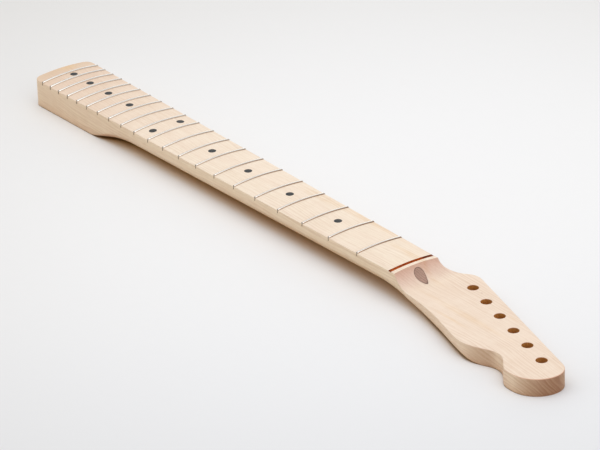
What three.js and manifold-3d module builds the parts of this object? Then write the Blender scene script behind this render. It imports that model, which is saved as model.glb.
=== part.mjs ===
// Electric guitar neck: one-piece maple, bolt-on heel, six-in-line headstock.
// Millimetres. +X runs from the heel to the headstock, +Y to the bass side, +Z out of the fingerboard.
// The origin is on the flat back of the heel, at the centre of its four screw holes.
import * as THREE from 'three';
import { mergeVertices } from 'three/addons/utils/BufferGeometryUtils.js';
import Module from 'manifold-3d';

const wasm = await Module();
wasm.setup();

// Strings and fingerboard
const scaleLength = 647.7;
const semitonesPerOctave = 12;
const fretCount = 21;
const nutWidth = 41.3;
const heelWidth = 56;
const boardRadius = 184.15;
const boardPastLastFret = 12.9;

// Heel, a block whose back is flat for the body's pocket
const neckDepth = 25.4;
const heelFlatLength = 80;
const heelCornerRadius = 6;
const screwSpacingX = 50.8;
const screwSpacingY = 38.1;
const screwRowFromEnd = 15.9;
const screwPilotRadius = 1.6;
const screwPilotDepth = 16;

// Shaft, an oval section under upright shoulders
const depthAtNut = 19.7;
const depthAtOctave = 23.9;
const shoulderDepth = 5.5;
const edgeEase = 0.8;
const backFlatShare = 0.02;
const heelWidthSweep = 30;
const heelHeightSweep = 53;
const heelDepthSweep = 19;

// Nut slot and the land in front of the headstock
const nutSlotSetback = 1.05;
const nutSlotWidth = 3.18;
const nutSlotDepth = 1.6;
const landLength = 3.35;

// Headstock
const headThickness = 14;
const scoopRadius = 19.05;
const postCount = 6;
const postPitch = 24.4;
const postLineAngle = THREE.MathUtils.degToRad(16.1);
const firstPostFromNut = 47.2;
const firstPostFromCentre = 22.3;
const postHoleRadius = 4.35;
const postToTopEdge = 11.65;
const lastPostToTip = 24.4;
const lastPostToTrebleEdge = 29.1;

// Outline of the headstock: corner place along its length, place towards its treble edge, rounding radius
const trebleCornerShares = [
  [0.571, 0.984, 0.196],
  [0.733, 0.633, 0.09],
  [0.833, 1, 0.069],
  [1, 1, 0.12],
];
const taperCornerShare = 0.209;
const taperRadiusShare = 1.27;
const tipRadiusShare = 0.079;
const peakShare = 0.1786;
const peakRadiusShare = 0.074;
const coveShare = 0.0525;
const coveRadiusShare = 0.074;

// Back of the headstock: how far before and behind the nut the shaft's rounding runs out
const backRampLead = 15;
const backRampRun = 65;
const trebleSideWidth = 10;
const trebleSideHeight = 10.5;
const trebleWidthRun = 30;
const trebleHeightRun = 75;
const trebleFadeStart = 95;
const trebleFadeLength = 30;
const bassRun = 33;

// Frets
const fretWidth = 2.1;
const fretHeight = 0.95;
const fretLip = 0.3;
const fretBevel = THREE.MathUtils.degToRad(32);
const tangWidth = 0.5;
const tangDepth = 2.1;
const tangSlotWidth = 0.62;
const tangSlotDepth = 2.4;

// Position dots
const singleDotFrets = [3, 5, 7, 9, 15, 17, 19, 21];
const doubleDotFret = 12;
const dotRadius = 3.175;
const dotDepth = 1.6;
const doubleDotFromCentre = 13.5;
const sideDotRadius = 1.2;
const sideDotDepth = 2;
const sideDotBelowEdge = 2.6;
const doubleSideDotSpacing = 7;

// Truss rod
const rodRadius = 2.38;
const rodDepthAtHeel = 12.7;
const rodDepthAtHead = 7.6;
const rodBow = 7.5;
const rodStraightEnd = 22;
const channelWidth = 6.35;
const channelHeelEnd = 72;
const channelBehindNut = 4;
const rodHoleRadius = 2.75;
const heelBoreRadius = 5.2;
const washerRadius = 4.9;
const washerThickness = 1;
const rodNutRadius = 4.6;
const rodNutLength = 12;
const rodNutProud = 1.5;
const rodEndInNut = 7;
const driverSlotWidth = 1.4;
const driverSlotDepth = 2.8;
const anchorRadius = 3.4;
const anchorLength = 7.5;
const anchorBoreRadius = 3.6;
const plugRadius = 4.4;
const plugDepthBelowCrown = 6.7;
const plugBehindLand = 2.6;

// Clearances, the overrun of every cut and the distance within which corners are one
const seatGap = 0.05;
const fitGap = 0.1;
const overrun = 2;
const weldDistance = 0.001;

// Facets
const boardFacetAngle = THREE.MathUtils.degToRad(2.6);
const boardFacetsEachSide = 6;
const sideFacets = 8;
const chordError = 0.05;
const stationSpacing = 0.4;
const crownFacets = 5;
const dotFacets = 24;
const holeFacets = 32;
const smallHoleFacets = 12;
const rodFacets = 10;
const rodSteps = 24;
const scoopFacets = 12;
const sweepStations = 8;
const shaftStations = 5;

const maple = { color: 0xecd5b6, roughness: 0.45, metalness: 0 };
const walnut = { color: 0x8a6a58, roughness: 0.55, metalness: 0 };
const nickelSilver = { color: 0xd8d6d0, roughness: 0.22, metalness: 1 };
const blackPlastic = { color: 0x2c2f30, roughness: 0.35, metalness: 0 };
const steel = { color: 0xa8abb0, roughness: 0.35, metalness: 1 };

// Places that follow from the sizes above, measured from the nut
const fretDistance = (fret) => scaleLength * (1 - 2 ** (-fret / semitonesPerOctave));
const nutToHeelEnd = fretDistance(fretCount) + boardPastLastFret;
const heelEndX = -(screwRowFromEnd + screwSpacingX / 2);
const nutX = heelEndX + nutToHeelEnd;
const fretX = (fret) => nutX - fretDistance(fret);
const nutSlotX = nutX + nutSlotSetback;
const ridgeX = nutSlotX + nutSlotWidth + landLength;
const crownZ = neckDepth;
const faceZ = headThickness;
const postStep = new THREE.Vector2(Math.cos(postLineAngle), -Math.sin(postLineAngle)).multiplyScalar(postPitch);
const firstPost = new THREE.Vector2(nutX + firstPostFromNut, firstPostFromCentre);
const lastPost = firstPost.clone().addScaledVector(postStep, postCount - 1);
const tipX = lastPost.x + lastPostToTip;
const headLength = tipX - nutX;
const trebleReach = lastPostToTrebleEdge - lastPost.y;

const smooth = (value, start, end) => THREE.MathUtils.smoothstep(value, start, end);
const mix = THREE.MathUtils.lerp;

function taperHalfWidth(x) {
  const share = (x - heelEndX) / nutToHeelEnd;
  return mix(heelWidth, nutWidth, share) / 2;
}

function topEdgeY(x) {
  const margin = postToTopEdge / Math.cos(postLineAngle);
  return firstPost.y + margin - (x - firstPost.x) * Math.tan(postLineAngle);
}

// Corner points with a rounding radius become a line of points with true arcs
function roundedLine(corners) {
  const points = [new THREE.Vector2(corners[0].x, corners[0].y)];
  for (let i = 1; i < corners.length - 1; i += 1) {
    const corner = new THREE.Vector2(corners[i].x, corners[i].y);
    const before = new THREE.Vector2(corners[i - 1].x, corners[i - 1].y).sub(corner).normalize();
    const after = new THREE.Vector2(corners[i + 1].x, corners[i + 1].y).sub(corner).normalize();
    const halfAngle = Math.acos(THREE.MathUtils.clamp(before.dot(after), -1, 1)) / 2;
    const middle = before.clone().add(after).normalize();
    const centre = corner.clone().addScaledVector(middle, corners[i].radius / Math.sin(halfAngle));
    const start = corner.clone().addScaledVector(before, corners[i].radius / Math.tan(halfAngle)).sub(centre);
    const end = corner.clone().addScaledVector(after, corners[i].radius / Math.tan(halfAngle)).sub(centre);
    const turn = Math.atan2(start.cross(end), start.dot(end));
    const facets = Math.ceil(Math.abs(turn) / (2 * Math.acos(1 - chordError / corners[i].radius)));
    for (let k = 0; k <= facets; k += 1) {
      const angle = (turn * k) / facets;
      points.push(start.clone().rotateAround(new THREE.Vector2(), angle).add(centre));
    }
  }
  const last = corners[corners.length - 1];
  points.push(new THREE.Vector2(last.x, last.y));
  return points;
}

// The plan outline runs from the heel's centre line along the treble edge to the tip, and back along the bass edge
function planOutline() {
  const taperX = nutX + taperCornerShare * headLength;
  const peakX = nutX + peakShare * headLength;
  const coveX = nutX + coveShare * headLength;
  const treble = [
    { x: heelEndX, y: 0 },
    { x: heelEndX, y: -heelWidth / 2, radius: heelCornerRadius },
    { x: taperX, y: -taperHalfWidth(taperX), radius: taperRadiusShare * headLength },
  ];
  for (const [along, across, round] of trebleCornerShares) {
    treble.push({ x: nutX + along * headLength, y: -across * trebleReach, radius: round * headLength });
  }
  const bass = [
    { x: tipX, y: topEdgeY(tipX), radius: tipRadiusShare * headLength },
    { x: peakX, y: topEdgeY(peakX), radius: peakRadiusShare * headLength },
    { x: coveX, y: taperHalfWidth(coveX), radius: coveRadiusShare * headLength },
    { x: heelEndX, y: heelWidth / 2, radius: heelCornerRadius },
    { x: heelEndX, y: 0 },
  ];
  return roundedLine([...treble, ...bass]);
}

const outline = planOutline();
const tipIndex = outline.reduce((best, point, i) => (point.x > outline[best].x ? i : best), 0);
const trebleEdge = outline.slice(0, tipIndex + 1);
const bassEdge = outline.slice(tipIndex).reverse();

// Height of an edge line above x, read between its points
function edgeY(edge, x) {
  let i = 1;
  while (i < edge.length - 1 && edge[i].x < x) i += 1;
  const span = edge[i].x - edge[i - 1].x;
  const share = span > 0 ? (x - edge[i - 1].x) / span : 1;
  return mix(edge[i - 1].y, edge[i].y, THREE.MathUtils.clamp(share, 0, 1));
}

function shaftDepth(x) {
  const slope = (depthAtOctave - depthAtNut) / fretDistance(semitonesPerOctave);
  return depthAtNut + slope * (nutX - x);
}

// Depth of the back below the crown: heel block, shaft, headstock
function backDepth(x) {
  const heelFlatEnd = heelEndX + heelFlatLength;
  const heel = 1 - smooth(x, heelFlatEnd, heelFlatEnd + heelDepthSweep);
  const head = smooth(x, nutX - backRampLead, nutX + backRampRun);
  return mix(shaftDepth(x), neckDepth, Math.max(heel, head));
}

// Width and height of the rounding under one side, at x
function sideRounding(x, treble, halfWidth) {
  const heelFlatEnd = heelEndX + heelFlatLength;
  const shaftWidth = halfWidth * (1 - backFlatShare);
  const shaftHeight = Math.min(shaftDepth(x), neckDepth) - shoulderDepth;
  const heelShareOfWidth = 1 - smooth(x, heelFlatEnd, heelFlatEnd + heelWidthSweep);
  const heelShareOfHeight = 1 - smooth(x, heelFlatEnd, heelFlatEnd + heelHeightSweep);
  let width = mix(shaftWidth, edgeEase, heelShareOfWidth);
  let height = mix(shaftHeight, edgeEase, heelShareOfHeight);
  if (treble) {
    const fadeStart = nutX + trebleFadeStart;
    const fade = smooth(x, fadeStart, fadeStart + trebleFadeLength);
    width = mix(width, trebleSideWidth, smooth(x, nutX - backRampLead, nutX + trebleWidthRun));
    height = mix(height, trebleSideHeight, smooth(x, nutX - backRampLead, nutX + trebleHeightRun));
    width = mix(width, edgeEase, fade);
    height = mix(height, edgeEase, fade);
  } else {
    const share = smooth(x, nutX - backRampLead, nutX + bassRun);
    width = mix(width, edgeEase, share);
    height = mix(height, edgeEase, share);
  }
  return { width, height };
}

// Stations along the neck: every outline point, the sweeps at both ends of the shaft, and the plain shaft
function stations() {
  const xs = outline.map((point) => point.x);
  const heelFlatEnd = heelEndX + heelFlatLength;
  const sweeps = [
    [heelFlatEnd, heelFlatEnd + heelDepthSweep],
    [heelFlatEnd, heelFlatEnd + heelHeightSweep],
    [nutX - backRampLead, nutX + backRampRun],
    [nutX + trebleFadeStart, nutX + trebleFadeStart + trebleFadeLength],
  ];
  for (const [start, end] of sweeps) {
    for (let i = 0; i <= sweepStations; i += 1) xs.push(mix(start, end, i / sweepStations));
  }
  for (let i = 1; i < shaftStations; i += 1) {
    xs.push(mix(heelFlatEnd + heelHeightSweep, nutX - backRampLead, i / shaftStations));
  }
  const sorted = xs.sort((a, b) => a - b);
  const kept = [sorted[0]];
  for (const x of sorted) {
    if (x - kept[kept.length - 1] > stationSpacing) kept.push(x);
  }
  kept[kept.length - 1] = tipX;
  return kept;
}

// One cross-section, in y and z, from the top of the treble side round the back to the top of the bass side
function neckSection(x) {
  const trebleY = edgeY(trebleEdge, x);
  const bassY = edgeY(bassEdge, x);
  const half = (bassY - trebleY) / 2;
  const bottom = crownZ - backDepth(x);
  const treble = sideRounding(x, true, Math.min(-trebleY, half));
  const bass = sideRounding(x, false, Math.min(bassY, half));
  treble.width = Math.min(treble.width, half * (1 - backFlatShare));
  bass.width = Math.min(bass.width, half * (1 - backFlatShare));
  const section = [new THREE.Vector2(trebleY, crownZ + overrun)];
  for (let i = 0; i <= sideFacets; i += 1) {
    const angle = (Math.PI / 2) * (i / sideFacets);
    const y = trebleY + treble.width * (1 - Math.cos(angle));
    section.push(new THREE.Vector2(y, bottom + treble.height * (1 - Math.sin(angle))));
  }
  for (let i = sideFacets; i >= 0; i -= 1) {
    const angle = (Math.PI / 2) * (i / sideFacets);
    const y = bassY - bass.width * (1 - Math.cos(angle));
    section.push(new THREE.Vector2(y, bottom + bass.height * (1 - Math.sin(angle))));
  }
  section.push(new THREE.Vector2(bassY, crownZ + overrun));
  return section;
}

// Closed mesh through rings of points, one contour for both end faces
function loftGeometry(rings, contour) {
  const count = contour.length;
  const positions = rings.flat().flatMap((point) => [point.x, point.y, point.z]);
  const index = [];
  for (let r = 0; r < rings.length - 1; r += 1) {
    for (let i = 0; i < count; i += 1) {
      const a = r * count + i;
      const b = r * count + ((i + 1) % count);
      index.push(a, b, a + count, b, b + count, a + count);
    }
  }
  const last = (rings.length - 1) * count;
  const faces = THREE.ShapeUtils.triangulateShape(contour, []);
  if (THREE.ShapeUtils.isClockWise(contour)) faces.forEach((face) => face.reverse());
  for (const [a, b, c] of faces) {
    index.push(a, c, b);
    index.push(last + a, last + b, last + c);
  }
  const geometry = new THREE.BufferGeometry();
  geometry.setAttribute('position', new THREE.Float32BufferAttribute(positions, 3));
  geometry.setIndex(index);
  return geometry;
}

function solidOf(geometry) {
  const bare = geometry.clone();
  bare.deleteAttribute('normal');
  bare.deleteAttribute('uv');
  const merged = mergeVertices(bare, weldDistance);
  const vertProperties = Float32Array.from(merged.attributes.position.array);
  const triVerts = Uint32Array.from(merged.index.array);
  const mesh = new wasm.Mesh({ numProp: 3, vertProperties, triVerts });
  mesh.merge();
  return new wasm.Manifold(mesh);
}

function geometryOf(solid) {
  const { numProp, vertProperties, triVerts } = solid.getMesh();
  const positions = new Float32Array((vertProperties.length / numProp) * 3);
  for (let i = 0; i < vertProperties.length / numProp; i += 1) {
    for (let k = 0; k < 3; k += 1) positions[i * 3 + k] = vertProperties[i * numProp + k];
  }
  const geometry = new THREE.BufferGeometry();
  geometry.setAttribute('position', new THREE.BufferAttribute(positions, 3));
  geometry.setIndex(new THREE.BufferAttribute(Uint32Array.from(triVerts), 1));
  geometry.computeVertexNormals();
  return geometry;
}

// Outline in x and z, given a width along y and centred on the centre line
function sideExtrusion(points, width) {
  const geometry = new THREE.ExtrudeGeometry(new THREE.Shape(points), { depth: width, bevelEnabled: false });
  geometry.rotateX(Math.PI / 2);
  geometry.translate(0, width / 2, 0);
  return solidOf(geometry);
}

// Outline in x and y, given a height along z
function planExtrusion(points, bottom, top) {
  const geometry = new THREE.ExtrudeGeometry(new THREE.Shape(points), { depth: top - bottom, bevelEnabled: false });
  geometry.translate(0, 0, bottom);
  return solidOf(geometry);
}

function boxSolid(from, to) {
  const geometry = new THREE.BoxGeometry(to.x - from.x, to.y - from.y, to.z - from.z);
  geometry.translate((from.x + to.x) / 2, (from.y + to.y) / 2, (from.z + to.z) / 2);
  return solidOf(geometry);
}

function uprightCylinder(radius, x, y, bottom, top, facets) {
  const geometry = new THREE.CylinderGeometry(radius, radius, top - bottom, facets);
  geometry.rotateX(Math.PI / 2);
  geometry.translate(x, y, (bottom + top) / 2);
  return solidOf(geometry);
}

function crossCylinder(radius, x, z, fromY, toY, facets) {
  const geometry = new THREE.CylinderGeometry(radius, radius, toY - fromY, facets);
  geometry.translate(x, (fromY + toY) / 2, z);
  return solidOf(geometry);
}

function lengthwiseCylinder(radius, z, fromX, toX, facets) {
  const geometry = new THREE.CylinderGeometry(radius, radius, toX - fromX, facets);
  geometry.rotateZ(Math.PI / 2);
  geometry.translate((fromX + toX) / 2, 0, z);
  return solidOf(geometry);
}

// A point at an angle across the board and at a height over its curved surface
function boardPoint(x, angle, height) {
  const radius = boardRadius + height;
  return new THREE.Vector3(x, radius * Math.sin(angle), crownZ - boardRadius + radius * Math.cos(angle));
}

const boardAngles = [];
for (let i = -boardFacetsEachSide; i <= boardFacetsEachSide; i += 1) boardAngles.push(i * boardFacetAngle);

// Everything above the fingerboard's curved surface
function aboveBoard() {
  const top = crownZ + overrun * 2;
  const fromX = heelEndX - overrun;
  const toX = tipX + overrun;
  const ring = (x) => [
    ...boardAngles.map((angle) => boardPoint(x, angle, 0)),
    new THREE.Vector3(x, boardPoint(x, boardAngles[boardAngles.length - 1], 0).y, top),
    new THREE.Vector3(x, boardPoint(x, boardAngles[0], 0).y, top),
  ];
  const contour = ring(fromX).map((point) => new THREE.Vector2(point.y, point.z));
  return solidOf(loftGeometry([ring(fromX), ring(toX)], contour));
}

// Everything above the scoop and the headstock's face
function aboveFace() {
  const centreZ = faceZ + scoopRadius;
  const drop = crownZ - faceZ;
  const centreX = ridgeX + Math.sqrt(2 * scoopRadius * drop - drop * drop);
  const ridgeAngle = Math.atan2(crownZ - centreZ, ridgeX - centreX);
  const startAngle = ridgeAngle < 0 ? ridgeAngle + Math.PI * 2 : ridgeAngle;
  const points = [new THREE.Vector2(ridgeX, crownZ + overrun)];
  for (let i = 0; i <= scoopFacets; i += 1) {
    const angle = mix(startAngle, Math.PI * 1.5, i / scoopFacets);
    points.push(new THREE.Vector2(centreX + scoopRadius * Math.cos(angle), centreZ + scoopRadius * Math.sin(angle)));
  }
  points.push(new THREE.Vector2(tipX + overrun, faceZ));
  points.push(new THREE.Vector2(tipX + overrun, crownZ + overrun));
  return sideExtrusion(points, heelWidth * 2);
}

// A profile in x and height, swept across the board; ends lean inwards with height by the bevel
function boardSweep(x, profile, halfWidth, bevel) {
  const inner = boardAngles.filter((angle) => Math.abs((boardRadius + overrun) * Math.sin(angle)) < halfWidth - overrun);
  const endAngle = (side, height) => {
    const inset = Math.max(height, 0) * Math.tan(bevel);
    return side * Math.asin((halfWidth - inset) / (boardRadius + height));
  };
  const ringAt = (angleOf) => profile.map((point) => boardPoint(x + point.x, angleOf(point.y), point.y));
  const rings = [
    ringAt((height) => endAngle(-1, height)),
    ...inner.map((angle) => ringAt(() => angle)),
    ringAt((height) => endAngle(1, height)),
  ];
  return solidOf(loftGeometry(rings, profile));
}

function slotProfile(width, depth) {
  return [
    new THREE.Vector2(-width / 2, -depth),
    new THREE.Vector2(-width / 2, overrun),
    new THREE.Vector2(width / 2, overrun),
    new THREE.Vector2(width / 2, -depth),
  ];
}

function fretProfile() {
  const half = fretWidth / 2;
  const points = [
    new THREE.Vector2(-tangWidth / 2, -tangDepth),
    new THREE.Vector2(-tangWidth / 2, seatGap),
    new THREE.Vector2(-half, seatGap),
  ];
  for (let i = 0; i <= crownFacets; i += 1) {
    const angle = Math.PI * (1 - i / crownFacets);
    const rise = (fretHeight - fretLip) * Math.sin(angle);
    points.push(new THREE.Vector2(half * Math.cos(angle), fretLip + rise));
  }
  points.push(new THREE.Vector2(half, seatGap));
  points.push(new THREE.Vector2(tangWidth / 2, seatGap));
  points.push(new THREE.Vector2(tangWidth / 2, -tangDepth));
  return points;
}

function fretSolid(fret) {
  const halfWidth = taperHalfWidth(fretX(fret) + fretWidth / 2);
  return boardSweep(fretX(fret), fretProfile(), halfWidth, fretBevel);
}

function fretSlot(fret) {
  const halfWidth = taperHalfWidth(fretX(fret)) + overrun;
  return boardSweep(fretX(fret), slotProfile(tangSlotWidth, tangSlotDepth), halfWidth, 0);
}

// The nut slot's floor is flat, so it is deepest under the crown of the board
function nutSlot() {
  const half = nutWidth / 2 + overrun;
  return boxSolid(
    new THREE.Vector3(nutSlotX, -half, crownZ - nutSlotDepth),
    new THREE.Vector3(nutSlotX + nutSlotWidth, half, crownZ + overrun),
  );
}

// Dots sit half way between a fret and the one before it
const dotPlaces = [
  ...singleDotFrets.map((fret) => ({ fret, suffix: '', y: 0, shift: 0 })),
  { fret: doubleDotFret, suffix: '_treble', y: -doubleDotFromCentre, shift: -doubleSideDotSpacing / 2 },
  { fret: doubleDotFret, suffix: '_bass', y: doubleDotFromCentre, shift: doubleSideDotSpacing / 2 },
].map((place) => ({ ...place, x: (fretX(place.fret) + fretX(place.fret - 1)) / 2 }));
const nameOf = (stem, place) => `${stem}_${String(place.fret).padStart(2, '0')}${place.suffix}`;
const boardZ = (y) => crownZ - boardRadius + Math.sqrt(boardRadius ** 2 - y ** 2);

function dotCylinder(place, gap) {
  const bottom = boardZ(place.y) - dotDepth - gap;
  return uprightCylinder(dotRadius + gap, place.x, place.y, bottom, crownZ + overrun, dotFacets);
}

function sideDotCylinder(place, gap) {
  const x = place.x + place.shift;
  const edge = taperHalfWidth(x);
  const z = boardZ(edge) - sideDotBelowEdge;
  return crossCylinder(sideDotRadius + gap, x, z, edge - sideDotDepth - gap, edge + overrun, smallHoleFacets);
}

// Truss rod: straight at both ends, bowed towards the back between them
const rodHeelZ = crownZ - rodDepthAtHeel;
const rodHeadZ = crownZ - rodDepthAtHead;
const boreFloorX = heelEndX - rodNutProud + rodNutLength + washerThickness + fitGap * 2;
const rodNutStartX = heelEndX - rodNutProud;
const rodStartX = rodNutStartX + rodEndInNut;
const anchorEndX = ridgeX - plugBehindLand - fitGap;
const anchorStartX = anchorEndX - anchorLength;
const plugStartX = ridgeX - plugBehindLand;
const channelStartX = heelEndX + channelHeelEnd;
const channelEndX = nutX - channelBehindNut;

function rodCurve() {
  const bowStart = new THREE.Vector3(boreFloorX + rodStraightEnd, 0, rodHeelZ);
  const bowEnd = new THREE.Vector3(anchorStartX - rodStraightEnd, 0, rodHeadZ);
  const reach = (bowEnd.x - bowStart.x) / 3;
  const lowZ = Math.min(rodHeelZ, rodHeadZ) - rodBow;
  const curve = new THREE.CurvePath();
  curve.add(new THREE.LineCurve3(new THREE.Vector3(rodStartX, 0, rodHeelZ), bowStart));
  curve.add(new THREE.CubicBezierCurve3(
    bowStart,
    new THREE.Vector3(bowStart.x + reach, 0, rodHeelZ),
    new THREE.Vector3(bowEnd.x - reach, 0, lowZ),
    bowEnd,
  ));
  curve.add(new THREE.LineCurve3(bowEnd, new THREE.Vector3(anchorEndX - fitGap, 0, rodHeadZ)));
  return curve;
}

const rodLine = rodCurve().getSpacedPoints(rodSteps);

function rodZ(x) {
  let i = 1;
  while (i < rodLine.length - 1 && rodLine[i].x < x) i += 1;
  const share = (x - rodLine[i - 1].x) / (rodLine[i].x - rodLine[i - 1].x);
  return mix(rodLine[i - 1].z, rodLine[i].z, share);
}

function circleShape(radius, facets) {
  const points = [];
  for (let i = 0; i < facets; i += 1) {
    const angle = (Math.PI * 2 * i) / facets;
    points.push(new THREE.Vector2(radius * Math.cos(angle), radius * Math.sin(angle)));
  }
  return points;
}

function rodSolid() {
  const circle = circleShape(rodRadius, rodFacets);
  const rings = rodLine.map((centre) => circle.map((p) => new THREE.Vector3(centre.x, p.x, centre.z + p.y)));
  return solidOf(loftGeometry(rings, circle));
}

// Slot with round ends that is open to the back; its roof follows the rod at the given height over its axis
function channelSolid(heightOverRod, gap) {
  const fromX = channelStartX - gap;
  const toX = channelEndX + gap;
  const inside = rodLine.filter((point) => point.x > fromX && point.x < toX).map((point) => point.x);
  const roof = [fromX, ...inside, toX].map((x) => new THREE.Vector2(x, rodZ(x) + heightOverRod));
  const floor = [new THREE.Vector2(toX, -overrun), new THREE.Vector2(fromX, -overrun)];
  const radius = channelWidth / 2 + gap;
  const plan = [];
  for (let i = 0; i <= smallHoleFacets; i += 1) {
    const angle = -Math.PI / 2 + (Math.PI * i) / smallHoleFacets;
    plan.push(new THREE.Vector2(toX - radius + radius * Math.cos(angle), radius * Math.sin(angle)));
  }
  for (let i = 0; i <= smallHoleFacets; i += 1) {
    const angle = Math.PI / 2 + (Math.PI * i) / smallHoleFacets;
    plan.push(new THREE.Vector2(fromX + radius + radius * Math.cos(angle), radius * Math.sin(angle)));
  }
  const upright = planExtrusion(plan, -overrun * 2, crownZ);
  return sideExtrusion([...roof, ...floor], channelWidth * 2).intersect(upright);
}

function rodNutSolid() {
  const body = lengthwiseCylinder(rodNutRadius, rodHeelZ, rodNutStartX, rodNutStartX + rodNutLength, dotFacets);
  const thread = lengthwiseCylinder(
    rodRadius + fitGap,
    rodHeelZ,
    rodStartX - fitGap,
    rodNutStartX + rodNutLength + overrun,
    dotFacets,
  );
  const slotEnd = rodNutStartX + driverSlotDepth;
  const half = driverSlotWidth / 2;
  const reach = rodNutRadius + overrun;
  const flat = boxSolid(
    new THREE.Vector3(rodNutStartX - overrun, -reach, rodHeelZ - half),
    new THREE.Vector3(slotEnd, reach, rodHeelZ + half),
  );
  const upright = boxSolid(
    new THREE.Vector3(rodNutStartX - overrun, -half, rodHeelZ - reach),
    new THREE.Vector3(slotEnd, half, rodHeelZ + reach),
  );
  return body.subtract(thread).subtract(flat).subtract(upright);
}

function washerSolid() {
  const start = boreFloorX - fitGap - washerThickness;
  const disc = lengthwiseCylinder(washerRadius, rodHeelZ, start, start + washerThickness, dotFacets);
  const hole = lengthwiseCylinder(rodHoleRadius, rodHeelZ, start - overrun, boreFloorX, dotFacets);
  return disc.subtract(hole);
}

function anchorSolid() {
  const barrel = lengthwiseCylinder(anchorRadius, rodHeadZ, anchorStartX, anchorEndX, dotFacets);
  const thread = lengthwiseCylinder(rodRadius + fitGap, rodHeadZ, anchorStartX - overrun, anchorEndX + overrun, dotFacets);
  return barrel.subtract(thread);
}

function plugCylinder(gap) {
  const z = crownZ - plugDepthBelowCrown;
  return lengthwiseCylinder(plugRadius + gap, z, plugStartX - gap, tipX, holeFacets);
}

// The maple blank, shaped outside, before anything is let into it
function blankSolid() {
  const xs = stations();
  const sections = xs.map((x) => neckSection(x));
  const rings = sections.map((section, i) => section.map((p) => new THREE.Vector3(xs[i], p.x, p.y)));
  return solidOf(loftGeometry(rings, sections[0])).subtract(aboveBoard()).subtract(aboveFace());
}

function screwPilots() {
  const holes = [];
  for (const x of [-screwSpacingX / 2, screwSpacingX / 2]) {
    for (const y of [-screwSpacingY / 2, screwSpacingY / 2]) {
      holes.push(uprightCylinder(screwPilotRadius, x, y, -overrun, screwPilotDepth, smallHoleFacets));
    }
  }
  return holes;
}

function postHoles() {
  const holes = [];
  for (let i = 0; i < postCount; i += 1) {
    const centre = firstPost.clone().addScaledVector(postStep, i);
    holes.push(uprightCylinder(postHoleRadius, centre.x, centre.y, -overrun, faceZ + overrun, holeFacets));
  }
  return holes;
}

function rodCuts() {
  return [
    channelSolid(rodRadius + fitGap, fitGap),
    lengthwiseCylinder(rodHoleRadius, rodHeelZ, boreFloorX - overrun, channelStartX + channelWidth, dotFacets),
    lengthwiseCylinder(heelBoreRadius, rodHeelZ, heelEndX - overrun, boreFloorX, holeFacets),
    lengthwiseCylinder(rodHoleRadius, rodHeadZ, channelEndX - channelWidth, anchorEndX, dotFacets),
    lengthwiseCylinder(anchorBoreRadius, rodHeadZ, anchorStartX - fitGap, plugStartX, dotFacets),
    plugCylinder(fitGap),
  ];
}

const frets = Array.from({ length: fretCount }, (_, i) => i + 1);
const blank = blankSolid();

function neckSolid() {
  const cuts = [
    nutSlot(),
    ...frets.map((fret) => fretSlot(fret)),
    ...dotPlaces.map((place) => dotCylinder(place, seatGap)),
    ...dotPlaces.map((place) => sideDotCylinder(place, seatGap)),
    ...postHoles(),
    ...screwPilots(),
    ...rodCuts(),
  ];
  return cuts.reduce((solid, cut) => solid.subtract(cut), blank);
}

const neck = new THREE.Group();

function addPiece(name, solid, look) {
  const mesh = new THREE.Mesh(geometryOf(solid), new THREE.MeshStandardMaterial(look));
  mesh.name = name;
  neck.add(mesh);
}

addPiece('neck', neckSolid(), maple);
for (const fret of frets) addPiece(`fret_${String(fret).padStart(2, '0')}`, fretSolid(fret), nickelSilver);
for (const place of dotPlaces) addPiece(nameOf('dot', place), dotCylinder(place, 0).intersect(blank), blackPlastic);
for (const place of dotPlaces) {
  addPiece(nameOf('side_dot', place), sideDotCylinder(place, 0).intersect(blank), blackPlastic);
}
addPiece('back_stripe', channelSolid(-rodRadius - fitGap, 0).intersect(blank), walnut);
addPiece('headstock_plug', plugCylinder(0).intersect(blank), walnut);
addPiece('truss_rod', rodSolid(), steel);
addPiece('truss_rod_anchor', anchorSolid(), steel);
addPiece('truss_rod_washer', washerSolid(), steel);
addPiece('truss_rod_nut', rodNutSolid(), steel);

export default neck;
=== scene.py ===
"""Looks of the electric guitar neck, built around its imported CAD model.

Sizes are in millimetres until a mesh is made. Materials, the light and the camera are in metres.
"""
import math

import bmesh
import bpy
import numpy as np
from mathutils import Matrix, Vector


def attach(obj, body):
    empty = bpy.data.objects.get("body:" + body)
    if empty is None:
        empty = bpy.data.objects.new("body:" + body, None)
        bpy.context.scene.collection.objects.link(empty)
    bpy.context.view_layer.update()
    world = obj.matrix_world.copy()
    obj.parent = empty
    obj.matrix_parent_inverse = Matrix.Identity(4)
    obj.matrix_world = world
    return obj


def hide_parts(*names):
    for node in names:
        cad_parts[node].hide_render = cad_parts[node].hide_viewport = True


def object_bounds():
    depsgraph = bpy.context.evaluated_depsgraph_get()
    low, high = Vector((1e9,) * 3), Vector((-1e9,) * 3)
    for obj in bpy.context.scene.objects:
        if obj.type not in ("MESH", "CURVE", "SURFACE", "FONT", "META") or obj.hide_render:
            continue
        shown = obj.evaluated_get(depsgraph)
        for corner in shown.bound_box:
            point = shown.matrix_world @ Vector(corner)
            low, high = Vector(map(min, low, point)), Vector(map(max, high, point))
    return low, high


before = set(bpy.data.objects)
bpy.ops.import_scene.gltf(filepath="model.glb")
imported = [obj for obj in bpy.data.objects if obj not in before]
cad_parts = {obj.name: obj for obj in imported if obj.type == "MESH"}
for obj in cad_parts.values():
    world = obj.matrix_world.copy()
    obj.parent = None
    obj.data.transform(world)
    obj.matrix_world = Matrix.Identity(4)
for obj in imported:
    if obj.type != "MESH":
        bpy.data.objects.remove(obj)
cad_box = [list(corner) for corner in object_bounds()]

MM = 0.001

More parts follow.
